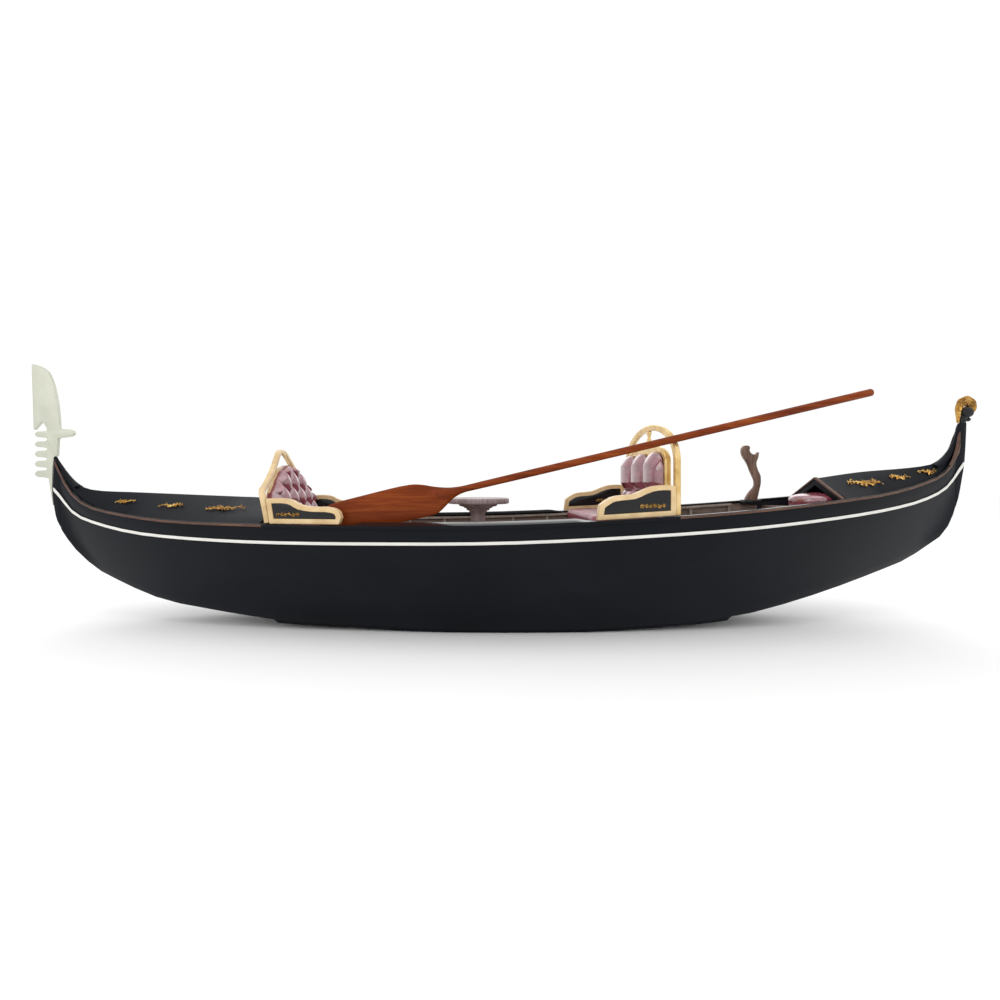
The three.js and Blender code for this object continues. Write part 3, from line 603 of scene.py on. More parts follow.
def scroll():
    """The black boss that the stern post ends in, with a wound ridge on both faces."""
    rings = []
    for r, y in ((0.5, -6.4), (4, -6.2), (7, -5.4), (8.6, -3.4), (9, 0), (8.6, 3.4), (7, 5.4),
                 (4, 6.2), (0.5, 6.4)):
        rings.append([(743 + r * math.cos(a), y, 333 + r * math.sin(a))
                      for a in turns(32)])
    groups = [rings]
    for side in (-1, 1):
        path = []
        for k in range(40):
            t = k / 39
            a, r = 4.2 + 9.0 * t, 7.6 * (1 - 0.86 * t)
            path.append((743 + r * math.cos(a), side * (5.0 + 1.5 * t), 333 + r * math.sin(a)))
        groups.append(tube_rings(path, [0.9 - 0.35 * k / 39 for k in range(40)]))
    neck = curve_through([(738.5, 305), (737.5, 314), (738.5, 322), (742, 330)], 12)
    groups.append([[(x + w * math.cos(a), w * 0.72 * math.sin(a), z)
                    for a in turns(20)]
                   for (x, z), w in zip(neck, [4.4, 4.2, 4, 3.9, 3.9, 4.2, 4.8, 5.2] + [5.4] * 5)])
    bulb = (746.2, 321.5)
    groups.append([[(bulb[0] + r * math.cos(a), r * math.sin(a), bulb[1] + h)
                    for a in turns(16)]
                   for h, r in ((-3.4, 0.4), (-2.8, 1.9), (-1.4, 3.1), (0, 3.5), (1.4, 3.1), (2.8, 1.9),
                                (3.4, 0.4))])
    piece = merged("stern_volute_finished", groups, 50)
    settle(piece, BODIES["stern_volute"], "gloss_black", "stern_volute")


def leaf_rings(start, way, long, wide, lift):
    """A small pointed leaf with a raised middle, lying flat in (u, v) with w up."""
    way = Vector(way).normalized()
    out = Vector((-way.y, way.x))
    rings = []
    for k in range(7):
        t = k / 6
        half = max(0.08, wide / 2 * math.sin(math.pi * min(0.97, 0.1 + 0.86 * t)) ** 0.8)
        p = Vector(start) + way * (long * t) + out * (0.12 * long * math.sin(math.pi * t))
        rings.append([(p.x + out.x * half * c, p.y + out.y * half * c, w)
                      for c, w in ((-1, 0), (-0.5, lift * 0.6), (0, lift), (0.5, lift * 0.6), (1, 0),
                                   (0, -0.2))])
    return rings


def curl_rings(centre, radius, start, turns, thick):
    """A small spiral tendril."""
    path, radii = [], []
    for k in range(22):
        t = k / 21
        a, r = start + math.tau * turns * t, radius * (1 - 0.8 * t)
        path.append((centre[0] + r * math.cos(a), centre[1] + r * math.sin(a), 0.35 + 0.5 * t))
        radii.append(thick * (1 - 0.4 * t))
    return tube_rings(path, radii, 7)


def spray_groups(long, wide, seed):
    """A cast spray: a wavy stem, leaves off both sides, curls, and a rosette where it is widest."""
    luck = random.Random(seed)
    heart = luck.uniform(-0.16, 0.16) * long
    wave = luck.uniform(1.2, 1.8)
    stem = [(long * (t - 0.5) * 0.94, 0.12 * wide * math.sin(wave * math.tau * t), 0.45)
            for t in (k / 30 for k in range(31))]
    groups = [tube_rings(stem, [0.35 + 0.45 * math.sin(math.pi * k / 30) for k in range(31)], 7)]
    count = max(9, int(long / 2.6))
    for k in range(count):
        t = (k + 0.5) / count
        at = stem[int(t * 30)]
        near = math.exp(-((at[0] - heart) / (0.22 * long)) ** 2)
        side = 1 if k % 2 else -1
        reach = wide * (0.2 + 0.27 * near) * luck.uniform(0.8, 1.1)
        lean = luck.uniform(0.35, 1.3) * (1 if at[0] > heart else -1)
        groups.append(leaf_rings(at[:2], (lean, side), reach, reach * 0.46, 0.9 + 0.6 * near))
        if k % 3 == 1:
            r = wide * (0.07 + 0.05 * near)
            centre = (at[0] + lean * 1.2, at[1] - side * (r + 0.16 * wide))
            groups.append(curl_rings(centre, r, luck.uniform(0, 6), side * 1.3, 0.42))
    for k in range(7):
        a = math.tau * k / 7
        groups.append(leaf_rings((heart, 0), (math.cos(a), math.sin(a)), wide * 0.3, wide * 0.17, 1.5))
    bead = [[(heart + r * math.cos(a), r * math.sin(a), h) for a in turns(12)]
            for r, h in ((1.3, 0), (1.3, 1.3), (0.9, 2.0), (0.2, 2.3))]
    return groups + [bead]


def place_flat(name, groups, place, along, up, across, body, slot, *stands_for):
    """Groups made in a flat (u, v, w) frame, set down at a place, in mm, of the row frame."""
    moved = [[[place + along * p[0] + across * p[1] + up * p[2] for p in ring] for ring in rings]
             for rings in groups]
    return settle(merged(name, moved, 60), body, slot, *stands_for)


def deck_sprays():
    """Each spray lies on its deck's slope, in the place of its CAD node."""
    for node in sorted(n for n in SLOTS if "spray" in n):
        mesh = frame["nodes"][node].data
        corners = [v.co / MM for v in mesh.vertices]
        top = max(mesh.polygons, key=lambda p: p.area * max(p.normal.z, 0))
        up = top.normal.normalized()
        middle = sum(corners, Vector()) / len(corners)
        xs = [c.x for c in corners]
        along = (Vector((1, 0, 0)) - up * up.x).normalized()
        across = up.cross(along)
        ys = [(c - middle).dot(across) for c in corners]
        long, wide = max(xs) - min(xs), max(ys) - min(ys)
        heights = [(c - middle).dot(up) for c in corners]
        place = middle + up * (min(heights) + 0.15)
        turn = 1 if node.startswith("stern") else -1
        groups = spray_groups(long, wide * 1.06, node.rsplit("_", 1)[0])
        groups = [[[(turn * u, v, w) for u, v, w in ring] for ring in rings] for rings in groups]
        place_flat(node + "_finished", groups, place, along, up, across, BODIES[node], "gold", node)


# ---------------------------------------------------------------- seats


def swept(path, section):
    """Rings of a section of (across, x) corners carried along a path of (y, z) points."""
    rings = []
    path = [Vector(p) for p in path]
    for i, p in enumerate(path):
        way = (path[min(i + 1, len(path) - 1)] - path[max(i - 1, 0)]).normalized()
        out = Vector((way.y, -way.x))
        rings.append([(x, p.x + out.x * r, p.y + out.y * r) for r, x in section])
    return rings


def rounded_section(wide, deep, radius, middle_x=0.0, groove=0.0):
    """A rounded bar's section; groove cuts a line along its front face."""
    half, reach = wide / 2, deep / 2
    corners = [(-half, -reach), (half, -reach), (half, reach), (-half, reach)]
    outline = rounded(corners, radius, 4)
    if groove:
        front = [(r, x) for r, x in outline if x > -reach + 0.01]
        outline = front + [(-0.25 * wide, -reach), (-0.1 * wide, -reach), (0, -reach + groove),
                           (0.1 * wide, -reach), (0.25 * wide, -reach)]
    return [(r, x + middle_x) for r, x in outline]


def bar(low, high):
    """A box as two rings."""
    (x0, y0, z0), (x1, y1, z1) = low, high
    return [[(x0, y0, z), (x1, y0, z), (x1, y1, z), (x0, y1, z)] for z in (z0, z1)]


LEAN = Matrix.Translation((-350, 0, 200)) @ Matrix.Rotation(math.radians(-9.3), 4, "Y")


def leaning(groups):
    return [[[LEAN @ Vector(p) for p in ring] for ring in rings] for rings in groups]


def mirrored(half):
    """A path of (y, z) points from the foot up to the middle, and down the other side."""
    return half + [(-y, z) for y, z in reversed(half) if y > 0]


def bow_chair_frame():
    """The ogee arch with its rail, and a thin curved strut that hangs from its peak."""
    side = [(90.5, z) for z in (-37.6, -28)] + [(91.6, -14), (93, 0), (93.1, 4)]
    ogee = [tuple(p) for p in curve_through([(90, 9.5), (82.5, 13), (60.5, 27.5), (43.5, 40),
                                             (28, 53.5), (15, 65.4), (7.5, 69)], 20)]
    groups = [swept(mirrored(side + ogee + [(0, 69.6)]), rounded_section(8.2, 8, 2.6))]
    groups.append(bar((-3.6, -87, -31), (3.6, 87, -22.5)))
    strut = curve_through([(1, 0, 67), (4.5, 0, 63.5), (5.5, 0, 57), (8.5, 0, 47)], 12)
    groups.append(tube_rings(strut, [2.1 - 0.06 * k for k in range(13)], 10))
    piece = merged("bow_chair_back_frame_finished", leaning(groups), 50)
    settle(piece, "bow_chair", "gilt_wood", "bow_chair_back_frame")
    edge = [(73.8, -19), (75.6, -4)] + [tuple(p) for p in curve_through(
        [(70, 5), (60, 12.5), (48.5, 20.5), (29, 37), (13, 43.2)], 14)]
    border = swept(mirrored(edge + [(0, 43.8)]), rounded_section(4.6, 6, 2.2, -0.4))
    panel = bar((-2.6, -73, -20), (1.5, 73, -4))
    upper = [[(x, y, z) for y, z in mirrored([(73, -5)] + edge[1:] + [(0, 43.5)])] for x in (-2.6, 1.5)]
    border_rail = bar((-3, -75.5, -21.4), (4.6, 75.5, -17.4))
    piece = merged("bow_chair_back_panel_finished", leaning([border, panel, upper, border_rail]), 50)
    settle(piece, "bow_chair", "gilt_wood", "bow_chair_back_panel")


def grid_pad(name, columns, rows, spot, back):
    """A closed pad: spot(u, v) gives its face for u and v from 0 to 1, back(u, v) its rear."""
    verts = [spot(i / columns, j / rows) for j in range(rows + 1) for i in range(columns + 1)]
    rear = [back(i / columns, j / rows) for j in range(rows + 1) for i in range(columns + 1)]
    n, w = len(verts), columns + 1
    faces = []
    for j in range(rows):
        for i in range(columns):
            a = j * w + i
            faces.append((a, a + 1, a + 1 + w, a + w))
            faces.append((n + a, n + a + w, n + a + 1 + w, n + a + 1))
    rim = ([(i, 0) for i in range(columns)] + [(columns, j) for j in range(rows)]
           + [(columns - i, rows) for i in range(columns)] + [(0, rows - j) for j in range(rows)])
    edge = [j * w + i for i, j in rim]
    for a, b in zip(edge, edge[1:] + edge[:1]):
        faces.append((b, a, n + a, n + b))
    return piece_from(name, verts + rear, faces, 70)


DIAMOND_WIDE, DIAMOND_TALL = 32, 47
SEAT_PRESSURE, SEAT_SWELL, SEAT_VOXEL = 4.0, 2.2, 3.0  # the cloth's pressure, its most swelling, mm
BACK_PRESSURE, BACK_SWELL = 3.0, 1.6
CLOTH_FRAMES = 20


def diamond(y, z):
    """How far a diamond-tufted puff stands up at a place, 0 on its seams and 1 in its middle."""
    a = math.sin(math.pi * (y / DIAMOND_WIDE + (z - 244) / DIAMOND_TALL))
    b = math.sin(math.pi * (y / DIAMOND_WIDE - (z - 244) / DIAMOND_TALL))
    return (abs(a * b) + 0.0004) ** 0.42


def bow_chair_pad():
    """The deep-buttoned back: big glossy diamonds inside the cream frame."""
    edge = [(168, 80), (196, 79.5), (205, 72.5), (221, 51), (237, 30), (244, 13.5), (247.2, 3)]

    def front_plane(z):
        return -340.4 - (z - 178) * math.tan(math.radians(9.3))

    def rim(u, v):
        z = 168 + 79.2 * v
        return (2 * u - 1) * between(edge, z), z

    def face(u, v):
        y, z = rim(u, v)
        near_edge = min(1.0, 4.0 * (1 - abs(2 * u - 1)) * between(edge, z) / 20) ** 0.5
        near_top = min(1.0, (1 - v) / 0.10) ** 0.5
        deep = 1.5 + (17.5 - 6.5 * v) * (0.10 + 0.90 * diamond(y, z)) * near_edge * near_top
        return (front_plane(z) + deep, y, z)

    def rear(u, v):
        y, z = rim(u, v)
        side = max(0.0, abs(2 * u - 1) - 0.93) / 0.07
        return (front_plane(z) - 0.5 - 6.5 * side, y, z)

    pad = grid_pad("bow_chair_back_cushion_finished", 110, 64, face, rear)
    settle(pad, "bow_chair", "burgundy_leather", "bow_chair_back_cushion")
    puff_up(pad, BACK_PRESSURE, BACK_SWELL,
            lambda x, y, z: 1.0 if diamond(y, z) < 0.42 or x < front_plane(z) + 2 else 0.0)


PUFF_PITCH, PUFF_START, PUFF_SEAM = 53, 79.5, 208  # the sofa's puffs across, and their seam's height
SOFA_PAD_REAR = box_mm("sofa_back_cushion")[1][0] - 0.1


def sofa_pad():
    """Three tall round-topped puffs over a row of small ones."""
    def face(u, v):
        y, z = (2 * u - 1) * 80.5, 175 + 90 * v
        column = min(2, int((y + PUFF_START) / PUFF_PITCH)) if y > -PUFF_START else 0
        across = (y + PUFF_START - column * PUFF_PITCH) / PUFF_PITCH * 2 - 1
        across = max(-1.0, min(1.0, across))
        if z > PUFF_SEAM:
            top = 265.8 - 21 * (1 - math.sqrt(max(0.0, 1 - abs(across) ** 2.1)))
            rise = max(0.0, min(1.0, (z - 206) / 14)) ** 0.5
            fall = math.sqrt(max(0.0, min(1.0, (top - z) / 17)))
            deep = 14.5 * (1 - abs(across) ** 2.2) ** 0.5 * rise * fall
            z = min(z, top)
        else:
            small = (y + PUFF_START) / (PUFF_PITCH / 2)
            small = (small - math.floor(small)) * 2 - 1
            rise = min(1.0, (PUFF_SEAM - z) / 10) ** 0.5
            deep = (3 + 9.5 * (1 - abs(small) ** 2.2) ** 0.5) * max(0.25, rise)
        return (SOFA_PAD_REAR - 1.6 - deep, y, z)

    def rear(u, v):
        spot = face(u, v)
        return (SOFA_PAD_REAR, spot[1], spot[2])

    pad = grid_pad("sofa_back_cushion_finished", 132, 96, face, rear)
    settle(pad, "sofa", "burgundy_leather", "sofa_back_cushion")
    puff_up(pad, BACK_PRESSURE, BACK_SWELL,
            lambda x, y, z: 1.0 if x > 216 or abs(z - PUFF_SEAM) < 2.5 else 0.0)


def puff_up(pad, pressure, most, hold):
    """Swells a modelled pad by a short cloth simulation with its seams held."""
    scene = bpy.context.scene
    rest = [v.co.copy() for v in pad.data.vertices]
    group = pad.vertex_groups.new(name="held")
    for v in pad.data.vertices:
        x, y, z = (c / MM for c in v.co)
        group.add([v.index], hold(x, y, z), "REPLACE")
    run_cloth(pad, pressure, "held")
    for v, start in zip(pad.data.vertices, rest):
        way = v.co - start
        if way.length > most * MM:
            v.co = start + way * (most * MM / way.length)
    pad.vertex_groups.clear()
    scene.frame_set(1)


def run_cloth(piece, pressure, held=""):
    """A short run of Cloth, whose result is applied to the mesh."""
    scene = bpy.context.scene
    cloth = piece.modifiers.new("cloth", "CLOTH")
    settings = cloth.settings
    settings.use_pressure = True
    settings.uniform_pressure_force = pressure
    settings.effector_weights.gravity = 0
    settings.quality = 6
    settings.mass = 0.15
    settings.vertex_group_mass = held
    scene.frame_start, scene.frame_end = 1, CLOTH_FRAMES
    cloth.point_cache.frame_start, cloth.point_cache.frame_end = 1, CLOTH_FRAMES
    for step in range(1, CLOTH_FRAMES + 1):
        scene.frame_set(step)
    graph = bpy.context.evaluated_depsgraph_get()
    swollen = piece.evaluated_get(graph)
    places = [v.co.copy() for v in swollen.data.vertices]
    piece.modifiers.clear()
    for v, place in zip(piece.data.vertices, places):
        v.co = place


def flat_cushion(node, outline, low, high, crown, channels=()):
    """A seat pad: a slab that a cloth simulation swells, with sewn channels across it."""
    rings = []
    for z, draw in ((low, 2.5), (low + 2.5, 0.6), (high - 5, 0), (high - 1.5, 2), (high, 5)):
        middle = sum((Vector(p) for p in outline), Vector((0, 0))) / len(outline)
        ring = []
        for p in outline:
            way = Vector(p) - middle
            spot = middle + way * (1 - draw / max(way.length, 1))
            ring.append((spot.x, spot.y, z))
        rings.append(ring)
    pad = skin(node + "_finished", rings, 60)
    remeshed(pad, SEAT_VOXEL, 4)
    rest = [v.co.copy() for v in pad.data.vertices]
    run_cloth(pad, SEAT_PRESSURE)
    middle = sum((Vector(p) for p in outline), Vector((0, 0))) / len(outline)
    spans = [max(abs(p[k] - middle[k]) for p in outline) for k in (0, 1)]
    for v, start in zip(pad.data.vertices, rest):
        way = v.co - start
        if way.length > SEAT_SWELL * MM:
            v.co = start + way * (SEAT_SWELL * MM / way.length)
        x, y, z = (c / MM for c in v.co)
        u, w = (x - middle.x) / spans[0], (y - middle.y) / spans[1]
        lift = max(0.0, (z - low) / (high - low))
        bulge = crown * max(0.0, 1 - u * u) * max(0.0, 1 - w * w)
        dip = sum(3.2 * math.exp(-((y - c) / 2.6) ** 2) for c in channels)
        v.co.z += (bulge - dip * 0.8) * lift * MM
        v.co.x += dip * 0.9 * (-u) * abs(u) ** 3 * MM
        v.co.z = max(v.co.z, (low + 0.1) * MM)
    subdivided(pad)
    settle(pad, BODIES[node], "burgundy_leather", node)
    pad.data.materials[0] = FINISHES["burgundy_leather" if node == "aft_pad" else "burgundy_seat"]


def rectangle(x0, x1, half, corner):
    return rounded([(x0, -half), (x1, -half), (x1, half), (x0, half)], corner, 6)


def cushions():
    flat_cushion("bow_chair_seat_cushion", rectangle(-329.5, -241.5, 78.5, 9), 150.6, 163.5, 2.4)
    flat_cushion("sofa_seat_cushion", rectangle(116.5, 219, 91, 9), 155.6, 171, 2.6)
    ring = [(504 + 42.5 * math.cos(a), 34.8 * math.sin(a)) for a in turns(40)]
    flat_cushion("aft_pad", ring, 180.5, 198, 4)


ARCH_X = box_mm("sofa_back_frame")[0][0]


def sofa_frame():
    """The moulded arch with a carved drop under its top, and the panel with its beaded edge."""
    arch = [(101 * math.cos(a), 250 + 57 * math.sin(a)) for a in (math.pi * k / 40 for k in range(41))]
    path = [(101, 174.9), (101, 200), (101, 225)] + arch + [(-101, 225), (-101, 200), (-101, 174.9)]
    groups = [swept(path, rounded_section(9.8, 8, 2.4, ARCH_X + 4, 1.2))]
    groups.append(bar((ARCH_X + 0.6, -97, 175.4), (ARCH_X + 7.4, 97, 184.4)))
    drop = [(304, 3.2), (300, 5.2), (296, 4.2), (293, 2.6), (290, 3.8), (286, 4.8), (281, 2.2), (278, 1.2)]
    groups.append([[(ARCH_X + 4 + 0.72 * r * (1 + 0.12 * math.cos(5 * a)) * math.cos(a),
                     r * (1 + 0.12 * math.cos(5 * a)) * math.sin(a), z)
                    for a in turns(30)] for z, r in drop])
    piece = merged("sofa_back_frame_finished", groups, 50)
    settle(piece, "sofa", "gilt_wood", "sofa_back_frame")
    piece.data.materials[0] = FINISHES["gilt_bright"]
    arch = [(82 * math.cos(a), 250 + 27 * math.sin(a)) for a in (math.pi * k / 36 for k in range(37))]
    path = [(82, 188), (82, 220)] + arch + [(-82, 220), (-82, 188)]
    board = [[(x, y, z) for y, z in path] for x in (ARCH_X - 5, ARCH_X + 2)]
    groups = [board, swept(path, rounded_section(7.6, 9, 2.4, ARCH_X - 1.5, 1.4))]
    piece = merged("sofa_back_panel_finished", groups, 50)
    settle(piece, "sofa", "gilt_wood", "sofa_back_panel")
    piece.data.materials[0] = FINISHES["gilt_bright"]


def scroll_work(long, tall, seed):
    """Cast filigree for an armrest: a run of open curls and short leaves."""
    luck = random.Random(seed)
    groups = []
    count = 6
    for k in range(count):
        u = long * ((k + 0.5) / count - 0.5)
        side = 1 if k % 2 else -1
        r = tall * luck.uniform(0.24, 0.36)
        groups.append(curl_rings((u, side * tall * 0.16), r, luck.uniform(2, 4), side * 1.2, 0.55))
        groups.append(leaf_rings((u, 0), (luck.uniform(-0.6, 0.6), -side), tall * 0.42, tall * 0.2, 0.9))
    stem = [(long * (t - 0.5), 0.18 * tall * math.sin(2.5 * math.tau * t), 0.4)
            for t in (k / 30 for k in range(31))]
    return groups + [tube_rings(stem, [0.5] * 31, 7)]


def armrests():
    """Rounded wooden borders with black panels let in, and filigree low on each panel."""
    marks = {"bow_chair": (-329.5, -294, 174.8, 7.4), "sofa": (176, 212, 187.4, 8.4)}
    for seat, (x0, x1, z, tall) in marks.items():
        for word, side in SIDES.items():
            dressed(f"{seat}_arm_{word}", bevel=2.2, segments=5)
            panel = dressed(f"{seat}_arm_panel_{word}", bevel=0.4)
            flat = max(panel.data.polygons, key=lambda p: p.area * max(0, side * p.normal.y))
            up = flat.normal.normalized()
            along = (Vector((1, 0, 0)) - up * up.x).normalized()
            across = up.cross(along)
            start = flat.center / MM
            middle_x = (x0 + x1) / 2
            place = start + along * ((middle_x - start.x) / along.x)
            place += Vector((0, 0, 1)) * (z - place.z) + up * 0.1
            groups = scroll_work(x1 - x0, tall, f"{seat}_{word}")
            place_flat(f"{seat}_arm_filigree_{word}", groups, place, along, up, across, seat, "gold")
            inner = linked(f"{seat}_arm_inner_panel_{word}", panel.data.copy())
            for v in inner.data.vertices:
                v.co -= up * (7.65 * MM)
            settle(inner, seat, "gloss_black")
            groups = scroll_work(x1 - x0, tall, f"{seat}_inner_{word}")
            place_flat(f"{seat}_inner_filigree_{word}", groups, place - up * 9.5, along, -up, -across,
                       seat, "gold")


# ---------------------------------------------------------------- oar, forcola and table

OAR_FRAME = (Matrix.Translation((225, -99.8, 279.6)) @ Matrix.Rotation(math.atan(-0.0247), 4, "Z")
             @ Matrix.Rotation(-math.atan(0.2375), 4, "Y"))


def oar():
    """One length of timber: a blade with thin edges and a low ridge that runs into the shaft."""
    upper = [tuple(p) for p in curve_through([(-508, 10), (-500, 19), (-484, 23), (-448, 24), (-392, 24.6),
                                              (-370, 23.4), (-354, 19.2), (-338, 12.6), (-320, 7.2),
                                              (-306, 5.2), (-296, 4.7)], 60)]
    lower = [tuple(p) for p in curve_through([(-508, -10), (-500, -19), (-484, -23), (-448, -24),
                                              (-360, -26), (-342, -24.5), (-330, -18), (-318, -10.4),
                                              (-306, -6), (-296, -4.8)], 60)]
    spots = ([-509.5, -508.6, -507, -504, -500, -494] + list(range(-486, -376, 11))
             + list(range(-372, -290, 4)) + list(range(-284, 280, 18)) + [280.2, 280.8, 281.0])
    rings = []
    for u in spots:
        if u < -296:
            high, low = between(upper, u), between(lower, u)
            if u < -508:
                high, low = high * (0.2 + (u + 509.5) * 0.6), low * (0.2 + (u + 509.5) * 0.6)
        else:
            grow = between([(-296, 4.7), (-280, 4.9), (-200, 5.2), (280.2, 5.2), (280.8, 4.8),
                            (281, 4.4)], u)
            high, low = grow, -grow
        blade = max(0.0, min(1.0, (-296 - u) / 46))
        ridge = between([(-508, 0.2), (-400, 1.0), (-340, 2.6), (-296, 4.7)], u)
        ring = []
        for k in range(28):
            a = math.tau * k / 28
            v = (high + low) / 2 + (high - low) / 2 * math.cos(a)
            lens = 0.45 + 1.7 * (1 - abs(math.cos(a)) ** 2.2)
            spine = ridge * math.exp(-(v / 4.6) ** 2)
            deep = abs(math.sin(a)) ** (1 - 0.35 * blade) * (high - low) / 2
            thick = (1 - blade) * deep + blade * min(deep, lens + spine)
            ring.append(OAR_FRAME @ Vector((u, math.copysign(thick, math.sin(a)), v)))
        rings.append(ring)
    settle(skin("oar_finished", rings, 60), BODIES["oar"], "mahogany", "oar")


FORCOLA = (middle_of("forcola_block", 0), middle_of("forcola", 1))


def forcola():
    """The carved rowlock: a twisting knee with a thumb and a hooked bite at its head."""
    x, y = FORCOLA
    aft = curve_through([(10, 186), (10.5, 192), (13.5, 205), (16.5, 220), (16, 232), (11.5, 243),
                         (9, 254), (12, 265), (13, 273)], 34)
    bite = curve_through([(11.4, 273), (7, 268.8), (0.5, 270.2), (-3.4, 275.6), (-2, 281.6),
                          (-5, 284.6)], 18)
    fore = curve_through([(-12, 284.4), (-15.8, 279), (-15.2, 267), (-7.4, 254), (-0.5, 238),
                          (5.4, 223), (4.4, 213), (-3.6, 203), (-10, 191), (-10, 186)], 34)
    outline = [(x + p[0], p[1]) for p in list(aft) + list(bite) + list(fore)]
    piece = plate("forcola_finished", outline, y - 4.6, y + 4.6, bevel=2.2, segments=3)
    remeshed(piece, 1.1, 6)
    for v in piece.data.vertices:
        z = v.co.z / MM
        share = between([(186, 0.86), (200, 0.78), (212, 0.62), (232, 0.8), (250, 0.66), (262, 0.9),
                         (278, 0.98), (285, 0.7)], z)
        lean = between([(186, 0), (215, -0.7), (240, 0.5), (262, -0.4), (285, 0.3)], z)
        v.co.y = (y + lean + (v.co.y / MM - y) * share) * MM
        v.co.z = max(v.co.z, 190.4 * MM if abs(v.co.x / MM - x) > 8 else v.co.z)
    finish_mesh(piece.data, 60)
    settle(piece, "forcola", "walnut", "forcola")
    dressed("forcola_block", bevel=1.2, segments=3)


TABLE_X = middle_of("table_top", 0)
STAVES = 24


def table():
    """A round top of wedge staves over a stepped, turned apron and a waisted column."""
    top = [(0.4, 186.2), (30, 186.2), (47.6, 186.2), (49.2, 186.8), (49.8, 188), (49.8, 193.2),
           (49.2, 194.5), (48, 195), (30, 195), (0.4, 195)]
    rings = []
    around = STAVES * 8
    for r, z in top:
        ring = []
        for k in range(around):
            a = math.tau * k / around
            joint = abs((k % 8) - 0.0) < 0.5
            out = r - (0.7 if joint and r > 40 else 0)
            sink = 0.35 if joint and r > 20 and z > 194 else 0
            ring.append((TABLE_X + out * math.cos(a), out * math.sin(a), z - sink))
        rings.append(ring)
    apron = [(6, 175.0), (17, 175.0), (18.5, 175.8), (19, 177.4), (18.4, 178.4), (21.4, 178.8),
             (23.6, 180.0), (24, 181.6), (28.6, 181.8), (30.6, 182.6), (31, 184), (31, 186.3),
             (6, 186.3)]
    lathed = [[(TABLE_X + r * math.cos(a), r * math.sin(a), z) for a in turns(48)]
              for r, z in apron]
    piece = merged("table_top_finished", [rings, lathed], 28)
    settle(piece, "table", "table_wood", "table_top")
    foot = 110.4
    column = [(1, foot), (23.4, foot), (24, foot + 1.4), (23.6, foot + 3.4), (20.5, foot + 4.6),
              (19.6, foot + 6.4), (15.4, foot + 8.6), (13.2, foot + 12), (11.6, 130), (10.8, 140),
              (11.2, 150), (11.4, 158), (11.8, 160),
              (11.2, 162), (11.4, 168), (12.2, 171), (14, 172.6), (14.6, 174), (14.4, 174.7), (1, 174.7)]
    lathed = [[(TABLE_X + r * math.cos(a), r * math.sin(a), z) for a in turns(40)]
              for r, z in column]
    piece = merged("table_column_finished", [lathed], 28)
    settle(piece, "table", "table_wood", "table_column")


# ---------------------------------------------------------------- hull


def rim_heights(side_word):
    """Height of the cap rail's top along the hull, as (x, z) corners, one for each station."""
    found = {}
    for v in frame["nodes"][f"cap_rail_{side_word}"].data.vertices:
        x, y, z = (c / MM for c in v.co)
        key = round(x, 1)
        if key not in found or (z, abs(y)) > found[key][0]:
            found[key] = ((z, abs(y)), (x, z))
    return [found[k][1] for k in sorted(found)]


def rim_strip(name, side, start, end, profile, slot, count=60):
    """A strip along the rim, whose profile is (out from the rim's curve, up from its top)."""
    heights = rim_heights("port" if side < 0 else "starboard")
    rings = []
    for k in range(count + 1):
        x = start + (end - start) * k / count
        z, b = between(heights, x), rim_breadth(x)
        fade = min(1.0, min(k, count - k) / 4 + 0.02)
        rings.append([(x, side * (b + out), z + (up * fade if up > 0 else up)) for out, up in profile])
    piece = skin(name, rings, 50)
    return settle(piece, "hull", slot)


def polished_caps():
    """Through the cockpit the cap slopes outwards, with a gloss black top and a satin lip."""
    for word, side in SIDES.items():
        rim_strip(f"cap_lip_{word}", side, -350, 230,
                  [(2.7, -4.7), (3.0, -4.2), (3.0, -0.5), (2.5, 0.12), (0.8, 0.14), (0.8, -4.7)],
                  "hull_black")
        rim_strip(f"cap_crown_{word}", side, -231, 113,
                  [(2.2, 0.1), (-2, 1.4), (-8, 2.9), (-13.4, 3.9), (-14.2, 3.4), (-14.4, 1.0), (-14.4, -1.4),
                   (-7, -1.4), (-7, 0.02), (0, 0.02)], "gloss_black")
        rim_strip(f"cap_shine_{word}", side, -229, 111,
                  [(2.0, 0.3), (-2, 1.75), (-8, 3.25), (-13.0, 4.1), (-13.0, 3.6), (-8, 2.7), (-2, 1.2),
                   (1.8, 0.12)], "gloss_black")


